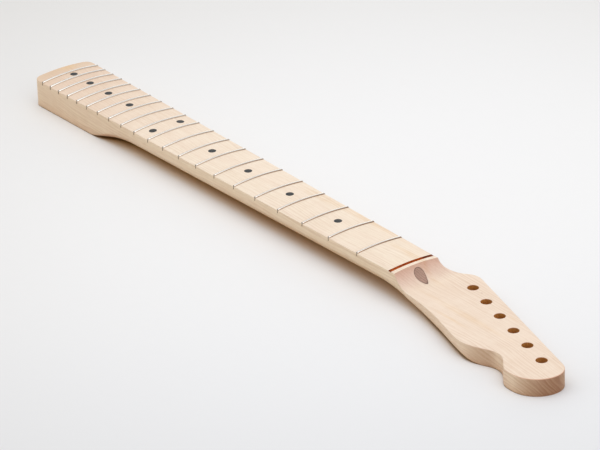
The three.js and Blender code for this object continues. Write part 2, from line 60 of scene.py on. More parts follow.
# Strings and fingerboard
SCALE_LENGTH = 647.7
FRETS = 21
NUT_WIDTH = 41.3
HEEL_WIDTH = 56.0
BOARD_RADIUS = 184.15
BOARD_PAST_LAST_FRET = 12.9

# Heel
NECK_DEPTH = 25.4
HEEL_FLAT_LENGTH = 80.0
HEEL_CORNER = 6.0
HEEL_DEPTH_RUN = 19.0
HEEL_WIDTH_RUN = 30.0
HEEL_HEIGHT_RUN = 53.0
SCREW_SPACING = (50.8, 38.1)
SCREW_ROW_FROM_END = 15.9
PILOT_RADIUS = 1.6
PILOT_DEPTH = 16.0

# Shaft
DEPTH_AT_NUT = 19.7
DEPTH_AT_OCTAVE = 23.9
SHOULDER_DEPTH = 5.5
EDGE_EASE = 0.8
BACK_FLAT_SHARE = 0.02
TOP_EDGE_RADIUS = 0.5
OUTER_EDGE_RADIUS = 0.6

# Nut slot, land and headstock
NUT_SLOT = (3.18, 1.6)
NUT_SLOT_SETBACK = 1.05
LAND = 3.35
HEAD_THICKNESS = 14.0
SCOOP_RADIUS = 19.05
POSTS = 6
POST_PITCH = 24.4
POST_ANGLE = math.radians(16.1)
FIRST_POST = (47.2, 22.3)
POST_HOLE_RADIUS = 4.35
POST_TO_TOP_EDGE = 11.65
LAST_POST_TO_TIP = 24.4
LAST_POST_TO_TREBLE_EDGE = 29.1

# Headstock's outline: (along, rounding) in shares of its length, and on the treble side also the
# distance across in shares of its reach, as (along, across, rounding)
TAPER_CORNER = (0.209, 1.27)
TREBLE_CORNERS = (
    (0.571, 0.984, 0.196),
    (0.733, 0.633, 0.09),
    (0.833, 1, 0.069),
    (1, 1, 0.12),
)
TIP_ROUNDING = 0.079
PEAK_CORNER = (0.1786, 0.074)
COVE_CORNER = (0.0525, 0.074)

# Change from shaft to headstock, from before the nut to these distances past it
CHANGE_BEFORE_NUT = 15.0
HEAD_DEPTH_RUN = 65.0
BASS_ROUNDING_RUN = 33.0
TREBLE_ROUNDING_WIDTH = 10.0
TREBLE_WIDTH_RUN = 30.0
TREBLE_ROUNDING_HEIGHT = 10.5
TREBLE_HEIGHT_RUN = 75.0
TREBLE_FADE = (95.0, 125.0)

# Frets
FRET_WIDTH = 2.1
FRET_HEIGHT = 0.915
FRET_LIP = 0.3
FRET_BEVEL = math.radians(32)
FRET_FOOT_EASE = 0.08
FRET_CROWN_POINTS = 15
FRET_CROWN_POWER = 0.9
FRET_SECTIONS = 33
FRET_CORNER_SHARES = (0.985, 0.996)
FRET_CORNER_RUN = 0.015
FRET_CORNER_DROP = 0.12
TANG = (0.5, 2.1)
TANG_SLOT = (0.62, 2.4)
TANG_END_RECESS = 1.0

# Dots
DOT_RADIUS = 3.175
DOT_DEPTH = 1.6
DOT_CHAMFER = 0.1
DOT_RIM = 0.06
DOT_LIFT = 0.012
DOT_FACE_RADII = (2.0, 0.8, 0.02)
DOUBLE_DOT_Y = 13.5
SIDE_DOT_RADIUS = 1.2
SIDE_DOT_DEPTH = 2.0
SIDE_DOT_RIM = (0.03, 0.08)
SIDE_DOT_FACE_RADII = (0.4, 0.02)
SIDE_DOT_BELOW_EDGE = 2.6
DOUBLE_SIDE_DOT_SPACING = 7.0

# Truss rod
ROD_RADIUS = 2.38
ROD_HEEL_Z = NECK_DEPTH - 12.7
ROD_HEAD_Z = NECK_DEPTH - 7.6
ROD_BOW = 7.5
ROD_STRAIGHT = 22.0
CHANNEL_WIDTH = 6.35
CHANNEL_HEEL_END = 72.0
CHANNEL_BEHIND_NUT = 4.0
ROD_HOLE_RADIUS = 2.75
HEEL_BORE_RADIUS = 5.2
ROD_NUT = (4.6, 12.0)
ROD_NUT_PROUD = 1.5
ROD_NUT_NOSE = ((0, 0.5), (0.15, 0.3), (0.5, 0))
ROD_NUT_RIM = 0.3
ROD_NUT_SOLID = 6.9
DRIVER_SLOT = (1.4, 2.8)
PLUG_RADIUS = 4.4
PLUG_BELOW_CROWN = 6.7
PLUG_AXIS_Z = NECK_DEPTH - PLUG_BELOW_CROWN
PLUG_BEHIND_LAND = 2.6
ANCHOR_BORE_RADIUS = 3.6
ANCHOR_LENGTH = 7.5

# Gaps and rims
SEAT_GAP = 0.05
FIT_GAP = 0.1
OVERRUN = 2.0
PLUG_OVERRUN = 12
BORE_RIM = 0.3
POST_HOLE_RIMS = (0.25, 0.2)

# Facets, and the angles (degrees) past which an edge stays sharp
FINE_SIDES = 64
ROUND_SIDES = 48
COARSE_SIDES = 32
SLOT_SECTIONS = 17
CHANNEL_FIRST_ANGLE = 0.12
CHANNEL_END_POINTS = 9
CHANNEL_POINTS = 44
SHARP_ANGLE = 30.0
NECK_SHARP_ANGLE = 34.0
SMALL_SHARP_ANGLE = 40.0

# Floor
FLOOR_HALF = 12000.0
FLOOR_Z = -0.02


def fret_distance(fret):
    return SCALE_LENGTH * (1 - 2 ** (-fret / 12))


NUT_TO_END = fret_distance(FRETS) + BOARD_PAST_LAST_FRET
END_X = -(SCREW_ROW_FROM_END + SCREW_SPACING[0] / 2)
NUT_X = END_X + NUT_TO_END
SLOT_START = NUT_X + NUT_SLOT_SETBACK
SLOT_END = SLOT_START + NUT_SLOT[0]
RIDGE_X = SLOT_END + LAND
CROWN = NECK_DEPTH
FACE = HEAD_THICKNESS
POSTS_XY = [
    (
        NUT_X + FIRST_POST[0] + i * POST_PITCH * math.cos(POST_ANGLE),
        FIRST_POST[1] - i * POST_PITCH * math.sin(POST_ANGLE),
    )
    for i in range(POSTS)
]
TIP_X = POSTS_XY[-1][0] + LAST_POST_TO_TIP
HEAD_LENGTH = TIP_X - NUT_X
TREBLE_REACH = LAST_POST_TO_TREBLE_EDGE - POSTS_XY[-1][1]
SCOOP_Z = FACE + SCOOP_RADIUS
SCOOP_X = RIDGE_X + math.sqrt(2 * SCOOP_RADIUS * (CROWN - FACE) - (CROWN - FACE) ** 2)
HEEL_FLAT_END = END_X + HEEL_FLAT_LENGTH


def fret_x(fret):
    return NUT_X - fret_distance(fret)


def smooth(value, start, end):
    share = np.clip((value - start) / (end - start), 0, 1)
    return share * share * (3 - 2 * share)


def mix(a, b, share):
    return a + (b - a) * share


def taper(x):
    return mix(HEEL_WIDTH, NUT_WIDTH, (x - END_X) / NUT_TO_END) / 2


def top_edge(x):
    offset = POST_TO_TOP_EDGE / math.cos(POST_ANGLE)
    return FIRST_POST[1] + offset - (x - POSTS_XY[0][0]) * math.tan(POST_ANGLE)


def rounded_line(corners, chord=0.004):
    """Corner points with a radius each become a line of points with true arcs."""
    points = [np.array(corners[0][:2], float)]
    for before, corner, after in zip(corners, corners[1:], corners[2:]):
        p = np.array(corner[:2], float)
        a = np.array(before[:2], float) - p
        b = np.array(after[:2], float) - p
        a /= np.linalg.norm(a)
        b /= np.linalg.norm(b)
        half = math.acos(np.clip(a @ b, -1, 1)) / 2
        middle = (a + b) / np.linalg.norm(a + b)
        centre = p + middle * corner[2] / math.sin(half)
        start = p + a * corner[2] / math.tan(half) - centre
        end = p + b * corner[2] / math.tan(half) - centre
        turn = math.atan2(start[0] * end[1] - start[1] * end[0], start @ end)
        steps = math.ceil(abs(turn) / (2 * math.acos(1 - chord / corner[2])))
        for k in range(steps + 1):
            c, s = math.cos(turn * k / steps), math.sin(turn * k / steps)
            arm = np.array([c * start[0] - s * start[1], s * start[0] + c * start[1]])
            points.append(centre + arm)
    points.append(np.array(corners[-1][:2], float))
    return np.array(points)


def along_head(share):
    return NUT_X + share * HEAD_LENGTH


def plan_outline():
    """The neck seen from above, from the heel's end round by the treble side and the tip."""
    taper_x, peak_x, cove_x = (along_head(c[0]) for c in (TAPER_CORNER, PEAK_CORNER, COVE_CORNER))
    corners = [
        (END_X, 0),
        (END_X, -HEEL_WIDTH / 2, HEEL_CORNER),
        (taper_x, -taper(taper_x), TAPER_CORNER[1] * HEAD_LENGTH),
    ]
    for along, across, rounding in TREBLE_CORNERS:
        corners.append((along_head(along), -across * TREBLE_REACH, rounding * HEAD_LENGTH))
    corners += [
        (TIP_X, top_edge(TIP_X), TIP_ROUNDING * HEAD_LENGTH),
        (peak_x, top_edge(peak_x), PEAK_CORNER[1] * HEAD_LENGTH),
        (cove_x, taper(cove_x), COVE_CORNER[1] * HEAD_LENGTH),
        (END_X, HEEL_WIDTH / 2, HEEL_CORNER),
        (END_X, 0),
    ]
    return rounded_line(corners)


OUTLINE = plan_outline()
TIP_INDEX = int(np.argmax(OUTLINE[:, 0]))
TREBLE = OUTLINE[: TIP_INDEX + 1]
BASS = OUTLINE[TIP_INDEX:][::-1]


def edge(line, x):
    tiny_steps = 1e-9 * np.arange(len(line))
    return np.interp(x, np.maximum.accumulate(line[:, 0]) + tiny_steps, line[:, 1])


def treble_y(x):
    return edge(TREBLE[1:], x)


def bass_y(x):
    return edge(BASS[1:], x)


def distance_to_outline(points):
    """Distance of each plan point from the neck's outline."""
    span = np.roll(OUTLINE, -1, 0) - OUTLINE
    length = np.maximum((span**2).sum(1), 1e-12)
    q = points[:, None, :] - OUTLINE[None]
    t = np.clip((q * span).sum(2) / length, 0, 1)
    gap = q - t[..., None] * span
    return np.sqrt((gap**2).sum(2).min(1))


def board_z(y, below=0.0):
    return CROWN - BOARD_RADIUS + np.sqrt((BOARD_RADIUS - below) ** 2 - np.square(y))


def face_z(x):
    inside = np.clip(SCOOP_RADIUS**2 - np.square(np.minimum(x, SCOOP_X) - SCOOP_X), 0, None)
    scoop = SCOOP_Z - np.sqrt(inside)
    return np.where(x < SCOOP_X - SCOOP_RADIUS, SCOOP_Z, scoop)


def shaft_depth(x):
    slope = (DEPTH_AT_OCTAVE - DEPTH_AT_NUT) / fret_distance(12)
    return DEPTH_AT_NUT + slope * (NUT_X - x)


def heel_share(x, run):
    return 1 - smooth(x, HEEL_FLAT_END, HEEL_FLAT_END + run)


def head_share(x, run):
    return smooth(x, NUT_X - CHANGE_BEFORE_NUT, NUT_X + run)


def back_depth(x):
    flat = max(heel_share(x, HEEL_DEPTH_RUN), head_share(x, HEAD_DEPTH_RUN))
    return mix(shaft_depth(x), NECK_DEPTH, flat)


def side_rounding(x, treble, half):
    """Width and height of the rounding under one side."""
    width = mix(half * (1 - BACK_FLAT_SHARE), EDGE_EASE, heel_share(x, HEEL_WIDTH_RUN))
    height = min(shaft_depth(x), NECK_DEPTH) - SHOULDER_DEPTH
    height = mix(height, EDGE_EASE, heel_share(x, HEEL_HEIGHT_RUN))
    if treble:
        fade = smooth(x, NUT_X + TREBLE_FADE[0], NUT_X + TREBLE_FADE[1])
        width = mix(width, TREBLE_ROUNDING_WIDTH, head_share(x, TREBLE_WIDTH_RUN))
        height = mix(height, TREBLE_ROUNDING_HEIGHT, head_share(x, TREBLE_HEIGHT_RUN))
        return mix(width, EDGE_EASE, fade), mix(height, EDGE_EASE, fade)
    share = head_share(x, BASS_ROUNDING_RUN)
    return mix(width, EDGE_EASE, share), mix(height, EDGE_EASE, share)


# Places of the neck's sections: offsets from both ends and from the ridge, and runs between them
# as (start, end, step)
FROM_ENDS = np.array(
    [0, 0.02, 0.06, 0.12, 0.2, 0.3, 0.42, 0.56, 0.72, 0.9]
    + [1.2, 1.6, 2.1, 2.7, 3.4, 4.2, 5.1, 6.1, 7.2]
)
FROM_RIDGE = np.array([-0.8, -0.4, -0.15, 0, 0.15, 0.4, 0.8])
SECTION_RUNS = (
    (END_X + 8, HEEL_FLAT_END, 6),
    (HEEL_FLAT_END, HEEL_FLAT_END + 54, 2),
    (HEEL_FLAT_END + 54, NUT_X - 16, 8),
    (NUT_X - 16, RIDGE_X - 1, 2),
    (RIDGE_X + 1.2, SCOOP_X + 2, 0.6),
    (SCOOP_X + 2, TIP_X - 24, 1.6),
    (TIP_X - 24, TIP_X - 7, 0.8),
)
LEAST_STEP = 0.015


def stations():
    parts = [END_X + FROM_ENDS, TIP_X - FROM_ENDS, RIDGE_X + FROM_RIDGE]
    parts += [np.arange(*run) for run in SECTION_RUNS]
    xs = np.sort(np.concatenate(parts))
    keep = np.concatenate([[True], np.diff(xs) > LEAST_STEP])
    return xs[keep]


# Points of a section
TOP_OFFSETS = np.array([0, 0.03, 0.09, 0.18, 0.3, 0.46, 0.7, 1.1])
TOP_MIDDLE = 15
WALL_POINTS = 3
SIDE_STEPS = 12
BOTTOM_MIDDLE = 5
SLOPE_STEP = 0.05
STEEPEST = 4
OFFSET_LIMIT_SHARE = 0.2
RIDGE_REACH = 4
INSIDE_BOX = 0.001


def ease(distance, radius):
    """How far an edge of this radius falls at a distance inside the outline."""
    inside = np.clip(radius - distance, 0, radius)
    return radius - np.sqrt(radius**2 - inside**2)


def ridge_shift(y):
    """How much nearer the tip the ridge between board and scoop lies at y than in its middle."""
    return SCOOP_X - np.sqrt(SCOOP_RADIUS**2 - (SCOOP_Z - board_z(y)) ** 2) - RIDGE_X


def offsets_from(side, x, width):
    """Distances of the top's points from one side, stretched where that side runs at a slant."""
    slope = abs(float(side(x + SLOPE_STEP) - side(x - SLOPE_STEP))) / (2 * SLOPE_STEP)
    return TOP_OFFSETS * min(math.hypot(1, slope), STEEPEST, width * OFFSET_LIMIT_SHARE)


def section_side(u, side_end, inward, top_z, bottom_z, width):
    """One side of a section: its wall, and the rounding under it down to the bottom."""
    x, y = side_end
    w, h = side_rounding(u, inward > 0, min(abs(y), width / 2))
    w = min(w, width / 2 * (1 - BACK_FLAT_SHARE))
    start = 0.0
    if top_z < bottom_z + h:
        start = math.asin(np.clip(1 - (top_z - bottom_z) / h, 0, 1))
    angles = mix(start, math.pi / 2, np.arange(SIDE_STEPS + 1) / SIDE_STEPS)
    ys = y + inward * w * (math.cos(start) - np.cos(angles))
    zs = bottom_z + h * (1 - np.sin(angles))
    wall = mix(top_z, zs[0], np.arange(1, WALL_POINTS) / WALL_POINTS)
    xs = np.full(SIDE_STEPS + WALL_POINTS, x)
    return np.column_stack([xs, np.r_[y, y, ys], np.r_[wall, zs]])


def neck_section(u):
    """Closed section of the neck at a place along it, with its outer edges eased."""
    near = 1 - smooth(abs(u - RIDGE_X), 0, RIDGE_REACH)
    ends = []
    for side in (treble_y, bass_y):
        x = float(u + ridge_shift(side(u)) * near if near > 0 else u)
        ends.append((x, float(side(x))))
    treble, bass = ends
    width = bass[1] - treble[1]
    first = treble[1] + offsets_from(treble_y, treble[0], width)
    last = (bass[1] - offsets_from(bass_y, bass[0], width))[::-1]
    ys = np.concatenate([first, np.linspace(first[-1], last[0], TOP_MIDDLE + 2)[1:-1], last])
    xs = u + (ridge_shift(ys) * near if near > 0 else 0 * ys)
    top = np.column_stack([xs, ys, np.minimum(board_z(ys), face_z(xs))])
    radius = TOP_EDGE_RADIUS if u < RIDGE_X else OUTER_EDGE_RADIUS
    top[:, 2] -= ease(distance_to_outline(top[:, :2]), radius)
    bottom_z = CROWN - back_depth(u)
    bass_side = section_side(u, bass, -1, top[-1, 2], bottom_z, width)
    treble_side = section_side(u, treble, 1, top[0, 2], bottom_z, width)
    across = np.linspace(bass_side[-1, 1], treble_side[-1, 1], BOTTOM_MIDDLE + 2)[1:-1]
    bottom = np.array([(u, y, bottom_z) for y in across])
    lower = np.concatenate([bass_side[WALL_POINTS:], bottom, treble_side[WALL_POINTS:][::-1]])
    raised = bottom_z + ease(distance_to_outline(lower[:, :2]), OUTER_EDGE_RADIUS)
    lower[:, 2] = np.maximum(lower[:, 2], np.minimum(raised, bass_side[WALL_POINTS - 1, 2]))
    return np.concatenate([top, bass_side[:WALL_POINTS], lower, treble_side[:WALL_POINTS][::-1]])


def neck_rings():
    """Sections of the neck from the heel's end to the tip, kept inside the CAD's width."""
    rings = np.array([neck_section(u) for u in stations()])
    rings[..., 1] = np.minimum(rings[..., 1], cad_box[1][1] / MM - INSIDE_BOX)
    return rings


def new_object(name, verts, faces, angle=SHARP_ANGLE):
    """A mesh object from points in millimetres, smooth but for edges sharper than the angle."""
    mesh = bpy.data.meshes.new(name)
    mesh.from_pydata((np.asarray(verts) * MM).tolist(), [], [list(map(int, f)) for f in faces])
    work = bmesh.new()
    work.from_mesh(mesh)
    bmesh.ops.remove_doubles(work, verts=work.verts, dist=1e-7)
    bmesh.ops.recalc_face_normals(work, faces=work.faces)
    work.to_mesh(mesh)
    work.free()
    obj = bpy.data.objects.new(name, mesh)
    bpy.context.scene.collection.objects.link(obj)
    soften(mesh, angle)
    return obj


def soften(mesh, angle):
    mesh.shade_smooth()
    mesh.set_sharp_from_angle(angle=math.radians(angle))


def loft(name, rings, angle=SHARP_ANGLE):
    """A closed body through rings of points, with a flat face at both ends."""
    rings = np.asarray(rings, float)
    count, size = rings.shape[:2]
    faces = []
    for r in range(count - 1):
        for i in range(size):
            a, b = r * size + i, r * size + (i + 1) % size
            faces.append((a, b, b + size, a + size))
    faces.append(range(size))
    faces.append(range((count - 1) * size, count * size))
    return new_object(name, rings.reshape(-1, 3), faces, angle)


def round_rings(stops, centre, axis, sides):
    """Rings of a turned shape: (place along the axis, radius) stops about a centre."""
    angles = 2 * math.pi * np.arange(sides) / sides
    u, v = [i for i in range(3) if i != axis]
    rings = []
    for place, radius in stops:
        ring = np.zeros((sides, 3))
        ring[:, axis] = place
        ring[:, u] = centre[u] + radius * np.cos(angles)
        ring[:, v] = centre[v] + radius * np.sin(angles)
        rings.append(ring)
    return rings


def turned(name, stops, centre, axis, sides=ROUND_SIDES, angle=SHARP_ANGLE):
    return loft(name, round_rings(stops, centre, axis, sides), angle)


def bore(start, end, radius, centre, axis, sides=ROUND_SIDES):
    return turned("cut", [(start, radius), (end, radius)], centre, axis, sides)


def rimmed_bore(face, floor, radius, centre, axis, sides=ROUND_SIDES):
    """A bore from a face to its floor, with a broken rim."""
    wide = radius + BORE_RIM
    stops = [(face - 1, wide), (face, wide), (face + BORE_RIM, radius), (floor, radius)]
    return turned("cut", stops, centre, axis, sides)


def swept_slot(name, x, width, depth, half):
    """A slot across the board, whose floor follows the board's radius."""
    left, right, top = x - width / 2, x + width / 2, CROWN + OVERRUN
    rings = []
    for y in np.linspace(-half, half, SLOT_SECTIONS):
        floor = board_z(y, depth)
        rings.append([(left, y, floor), (right, y, floor), (right, y, top), (left, y, top)])
    return loft(name, rings)


def flat_slot(name, start, end, floor, half):
    top = CROWN + OVERRUN
    square = [(-half, floor), (half, floor), (half, top), (-half, top)]
    return loft(name, [[(x, y, z) for y, z in square] for x in (start, end)])


def carve(obj, cutters, operation="DIFFERENCE"):
    """Applies booleans to obj and removes the cutters."""
    for cutter in cutters:
        modifier = obj.modifiers.new("cut", "BOOLEAN")
        modifier.solver = "MANIFOLD"
        modifier.operation = operation
        modifier.object = cutter
    graph = bpy.context.evaluated_depsgraph_get()
    mesh = bpy.data.meshes.new_from_object(obj.evaluated_get(graph))
    obj.modifiers.clear()
    obj.data = mesh
    for cutter in cutters:
        bpy.data.objects.remove(cutter)
    return obj


def copy_of(obj, name):
    twin = obj.copy()
    twin.data = obj.data.copy()
    twin.name = name
    bpy.context.scene.collection.objects.link(twin)
    return twin


# Dots: fret, end of the name, place across the board, and shift of the side dot along the neck
SIDE_SHIFT = DOUBLE_SIDE_DOT_SPACING / 2
DOTS = [(fret, "", 0.0, 0.0) for fret in (3, 5, 7, 9, 15, 17, 19, 21)]
DOTS += [(12, "_treble", -DOUBLE_DOT_Y, -SIDE_SHIFT), (12, "_bass", DOUBLE_DOT_Y, SIDE_SHIFT)]


def dot_x(fret):
    return (fret_x(fret) + fret_x(fret - 1)) / 2


# The rod's line
BORE_FLOOR = END_X - ROD_NUT_PROUD + ROD_NUT[1] + 1 + FIT_GAP * 2
PLUG_START = RIDGE_X - PLUG_BEHIND_LAND
ANCHOR_END = PLUG_START - FIT_GAP
ANCHOR_START = ANCHOR_END - ANCHOR_LENGTH
CHANNEL_START = END_X + CHANNEL_HEEL_END
CHANNEL_END = NUT_X - CHANNEL_BEHIND_NUT


def rod_z(x):
    """Height of the rod's middle: straight at both ends, and bowed toward the back between them."""
    start, end = BORE_FLOOR + ROD_STRAIGHT, ANCHOR_START - ROD_STRAIGHT
    t = np.clip((x - start) / (end - start), 0, 1)
    low = min(ROD_HEEL_Z, ROD_HEAD_Z) - ROD_BOW
    return (1 - t) ** 2 * (1 + 2 * t) * ROD_HEEL_Z + 3 * (1 - t) * t**2 * low + t**3 * ROD_HEAD_Z


def channel(name, over_rod, gap):
    """The rod's channel from the back up to its roof, with round ends."""
    start, end = CHANNEL_START - gap, CHANNEL_END + gap
    radius = CHANNEL_WIDTH / 2 + gap
    ends = radius * (1 - np.cos(np.linspace(CHANNEL_FIRST_ANGLE, math.pi / 2, CHANNEL_END_POINTS)))
    middle = np.linspace(start + radius, end - radius, CHANNEL_POINTS)[1:-1]
    rings = []
    for x in np.concatenate([start + ends, middle, (end - ends)[::-1]]):
        inside = min(x - start, end - x)
        half = radius if inside >= radius else math.sqrt(radius**2 - (radius - inside) ** 2)
        roof = rod_z(x) + over_rod
        corners = [(-half, -OVERRUN), (half, -OVERRUN), (half, roof), (-half, roof)]
        rings.append([(x, y, z) for y, z in corners])
    return loft(name, rings)


def plug_blank(name, gap):
    stops = [(PLUG_START - gap, PLUG_RADIUS + gap), (SCOOP_X + PLUG_OVERRUN, PLUG_RADIUS + gap)]
    return turned(name, stops, (0, 0, PLUG_AXIS_Z), 0, FINE_SIDES)


def neck_cutters():
    """Everything that is cut from the neck: slots, seats, holes, rod channel and bores."""
    floor = CROWN - NUT_SLOT[1]
    cutters = [flat_slot("cut", SLOT_START, SLOT_END, floor, NUT_WIDTH / 2 + OVERRUN)]
    for fret in range(1, FRETS + 1):
        x = fret_x(fret)
        cutters.append(swept_slot("cut", x, *TANG_SLOT, taper(x) + OVERRUN))
    for fret, _, y, shift in DOTS:
        floor = float(board_z(y)) - DOT_DEPTH - SEAT_GAP
        cutters.append(bore(floor, CROWN + 1, DOT_RADIUS + SEAT_GAP, (dot_x(fret), y, 0), 2))
        x = dot_x(fret) + shift
        out = taper(x)
        centre = (x, 0, float(board_z(out)) - SIDE_DOT_BELOW_EDGE)
        floor, radius = out - SIDE_DOT_DEPTH - SEAT_GAP, SIDE_DOT_RADIUS + SEAT_GAP
        cutters.append(bore(floor, out + 1, radius, centre, 1, COARSE_SIDES))
    back_rim, face_rim = POST_HOLE_RIMS
    r = POST_HOLE_RADIUS
    stops = [(-1, r + back_rim), (0, r + back_rim), (back_rim, r)]
    stops += [(FACE - face_rim, r), (FACE, r + face_rim), (FACE + 1, r + face_rim)]
    for x, y in POSTS_XY:
        cutters.append(turned("cut", stops, (x, y, 0), 2, FINE_SIDES))
    for x in (-SCREW_SPACING[0] / 2, SCREW_SPACING[0] / 2):
        for y in (-SCREW_SPACING[1] / 2, SCREW_SPACING[1] / 2):
            cutters.append(rimmed_bore(0, PILOT_DEPTH, PILOT_RADIUS, (x, y, 0), 2, COARSE_SIDES))
    head_axis, heel_axis = (0, 0, ROD_HEAD_Z), (0, 0, ROD_HEEL_Z)
    cutters += [
        channel("cut", ROD_RADIUS + FIT_GAP, FIT_GAP),
        bore(BORE_FLOOR - 1, CHANNEL_START + CHANNEL_WIDTH, ROD_HOLE_RADIUS, heel_axis, 0),
        rimmed_bore(END_X, BORE_FLOOR, HEEL_BORE_RADIUS, heel_axis, 0),
        bore(CHANNEL_END - CHANNEL_WIDTH, ANCHOR_END, ROD_HOLE_RADIUS, head_axis, 0),
        bore(ANCHOR_START - FIT_GAP, PLUG_START, ANCHOR_BORE_RADIUS, head_axis, 0),
        plug_blank("cut", FIT_GAP),
    ]
    return cutters


# The neck, and the two walnut pieces cut from the same outer shape
blank = loft("neck_blank", neck_rings(), NECK_SHARP_ANGLE)
maple_neck = carve(copy_of(blank, "maple_neck"), neck_cutters())
walnut_plug = carve(copy_of(blank, "walnut_plug"), [plug_blank("cut", 0)], "INTERSECT")
stripe_room = channel("cut", -ROD_RADIUS - FIT_GAP, 0)
walnut_stripe = carve(copy_of(blank, "walnut_stripe"), [stripe_room], "INTERSECT")
for piece in (maple_neck, walnut_plug, walnut_stripe):
    soften(piece.data, NECK_SHARP_ANGLE)
bpy.data.objects.remove(blank)


def fret_wire(fret):
    """One fret: domed crown, tang, and ends filed to a slope with a soft corner."""
    half_width, half_tang, foot = FRET_WIDTH / 2, TANG[0] / 2, FRET_FOOT_EASE
    reach = taper(fret_x(fret) + half_width)
    rise = FRET_HEIGHT - FRET_LIP
    under = [(half_tang, -TANG[1]), (half_tang, SEAT_GAP)]
    under += [(half_width - foot, SEAT_GAP), (half_width, SEAT_GAP + foot)]
    profile = [(-x, h) for x, h in under]
    for a in np.linspace(math.pi, 0, FRET_CROWN_POINTS):
        height = FRET_LIP + rise * math.sin(a) ** FRET_CROWN_POWER
        profile.append((half_width * math.cos(a), height))
    profile += under[::-1]
    corner, last = FRET_CORNER_SHARES
    middle = np.linspace(-corner, corner, FRET_SECTIONS)
    rings = []
    for share in np.concatenate([[-1, -last], middle, [last, 1]]):
        past = max(0, (abs(share) - corner) / FRET_CORNER_RUN)
        ring = []
        for x, h in profile:
            end = reach - max(h, 0) * math.tan(FRET_BEVEL) if h > 0 else reach - TANG_END_RECESS
            soft = FRET_CORNER_DROP * past**2 if h > FRET_LIP else 0
            y = share * end
            z = CROWN - BOARD_RADIUS + math.sqrt((BOARD_RADIUS + h - soft) ** 2 - y**2)
            ring.append((fret_x(fret) + x, y, z))
        rings.append(ring)
    return loft(f"fret_wire_{fret:02d}", rings, SMALL_SHARP_ANGLE)


def dot_inlay(fret, suffix, y):
    """A dot with an eased foot, whose face follows the board."""
    bottom = float(board_z(y)) - DOT_DEPTH
    stops = [(bottom, DOT_RADIUS - DOT_CHAMFER), (bottom + DOT_CHAMFER, DOT_RADIUS)]
    stops += [(0, radius) for radius in (DOT_RADIUS, DOT_RADIUS - DOT_RIM, *DOT_FACE_RADII)]
    rings = round_rings(stops, (dot_x(fret), y, 0), 2, ROUND_SIDES)
    edge_ring = 2
    for k in range(edge_ring, len(rings)):
        rings[k][:, 2] = board_z(rings[k][:, 1]) + (0 if k == edge_ring else DOT_LIFT)
    return loft(f"dot_inlay_{fret:02d}{suffix}", rings, SMALL_SHARP_ANGLE)


def side_dot(fret, suffix, shift):
    x = dot_x(fret) + shift
    out = taper(x)
    centre = (x, 0, float(board_z(out)) - SIDE_DOT_BELOW_EDGE)
    stops = [(out - SIDE_DOT_DEPTH, SIDE_DOT_RADIUS), (out - SIDE_DOT_RIM[0], SIDE_DOT_RADIUS)]
    stops += [(out, radius) for radius in (SIDE_DOT_RADIUS - SIDE_DOT_RIM[1], *SIDE_DOT_FACE_RADII)]
    name = f"side_dot_inlay_{fret:02d}{suffix}"
    return turned(name, stops, centre, 1, COARSE_SIDES, SMALL_SHARP_ANGLE)


def rod_nut():
    """The slotted nut at the heel, with a broken rim and crossed driver slots."""
    start = END_X - ROD_NUT_PROUD
    radius, length = ROD_NUT
    axis = (0, 0, ROD_HEEL_Z)
    stops = [(start + along, radius - inward) for along, inward in ROD_NUT_NOSE]
    stops += [(start + length - ROD_NUT_RIM, radius), (start + length, radius - ROD_NUT_RIM)]
    body = turned("truss_nut", stops, axis, 0, FINE_SIDES)
    cuts = [bore(start + ROD_NUT_SOLID, start + length + 1, ROD_RADIUS + FIT_GAP, axis, 0)]
    half, deep, reach = DRIVER_SLOT[0] / 2, DRIVER_SLOT[1], radius + 1
    for wide, tall in ((reach, half), (half, reach)):
        square = [(-wide, -tall), (wide, -tall), (wide, tall), (-wide, tall)]
        rings = [[(x, y, ROD_HEEL_Z + z) for y, z in square] for x in (start - 1, start + deep)]
        cuts.append(loft("cut", rings))
    return carve(body, cuts)


def floor_plane():
    corners = [(-1, -1), (1, -1), (1, 1), (-1, 1)]
    points = [(x * FLOOR_HALF, y * FLOOR_HALF, FLOOR_Z) for x, y in corners]
    return new_object("studio_floor", points, [range(4)])


# Materials
class Graph:
    """A node tree whose nodes are added one by one."""

    def __init__(self, tree):
        self.tree = tree

    def add(self, kind, inputs=None, **settings):
        node = self.tree.nodes.new(kind)
        for key, value in settings.items():
            setattr(node, key, value)
        for key, value in (inputs or {}).items():
            self.join(value, node.inputs[key])
        return node

    def join(self, value, socket):
        if isinstance(value, bpy.types.NodeSocket):
            self.tree.links.new(value, socket)
        elif isinstance(value, tuple) and socket.type == "RGBA":
            socket.default_value = (*value[:3], 1.0)
        else:
            socket.default_value = value

    def math(self, operation, a, b=0.0, c=0.0):
        return self.add("ShaderNodeMath", {0: a, 1: b, 2: c}, operation=operation).outputs[0]

    def times(self, a, b):
        return self.math("MULTIPLY", a, b)

    def scaled(self, a, b, c):
        """a times b, plus c."""
        return self.math("MULTIPLY_ADD", a, b, c)

    def vector(self, operation, a, b=(0.0, 0.0, 0.0), c=(0.0, 0.0, 0.0)):
        return self.add("ShaderNodeVectorMath", {0: a, 1: b, 2: c}, operation=operation).outputs


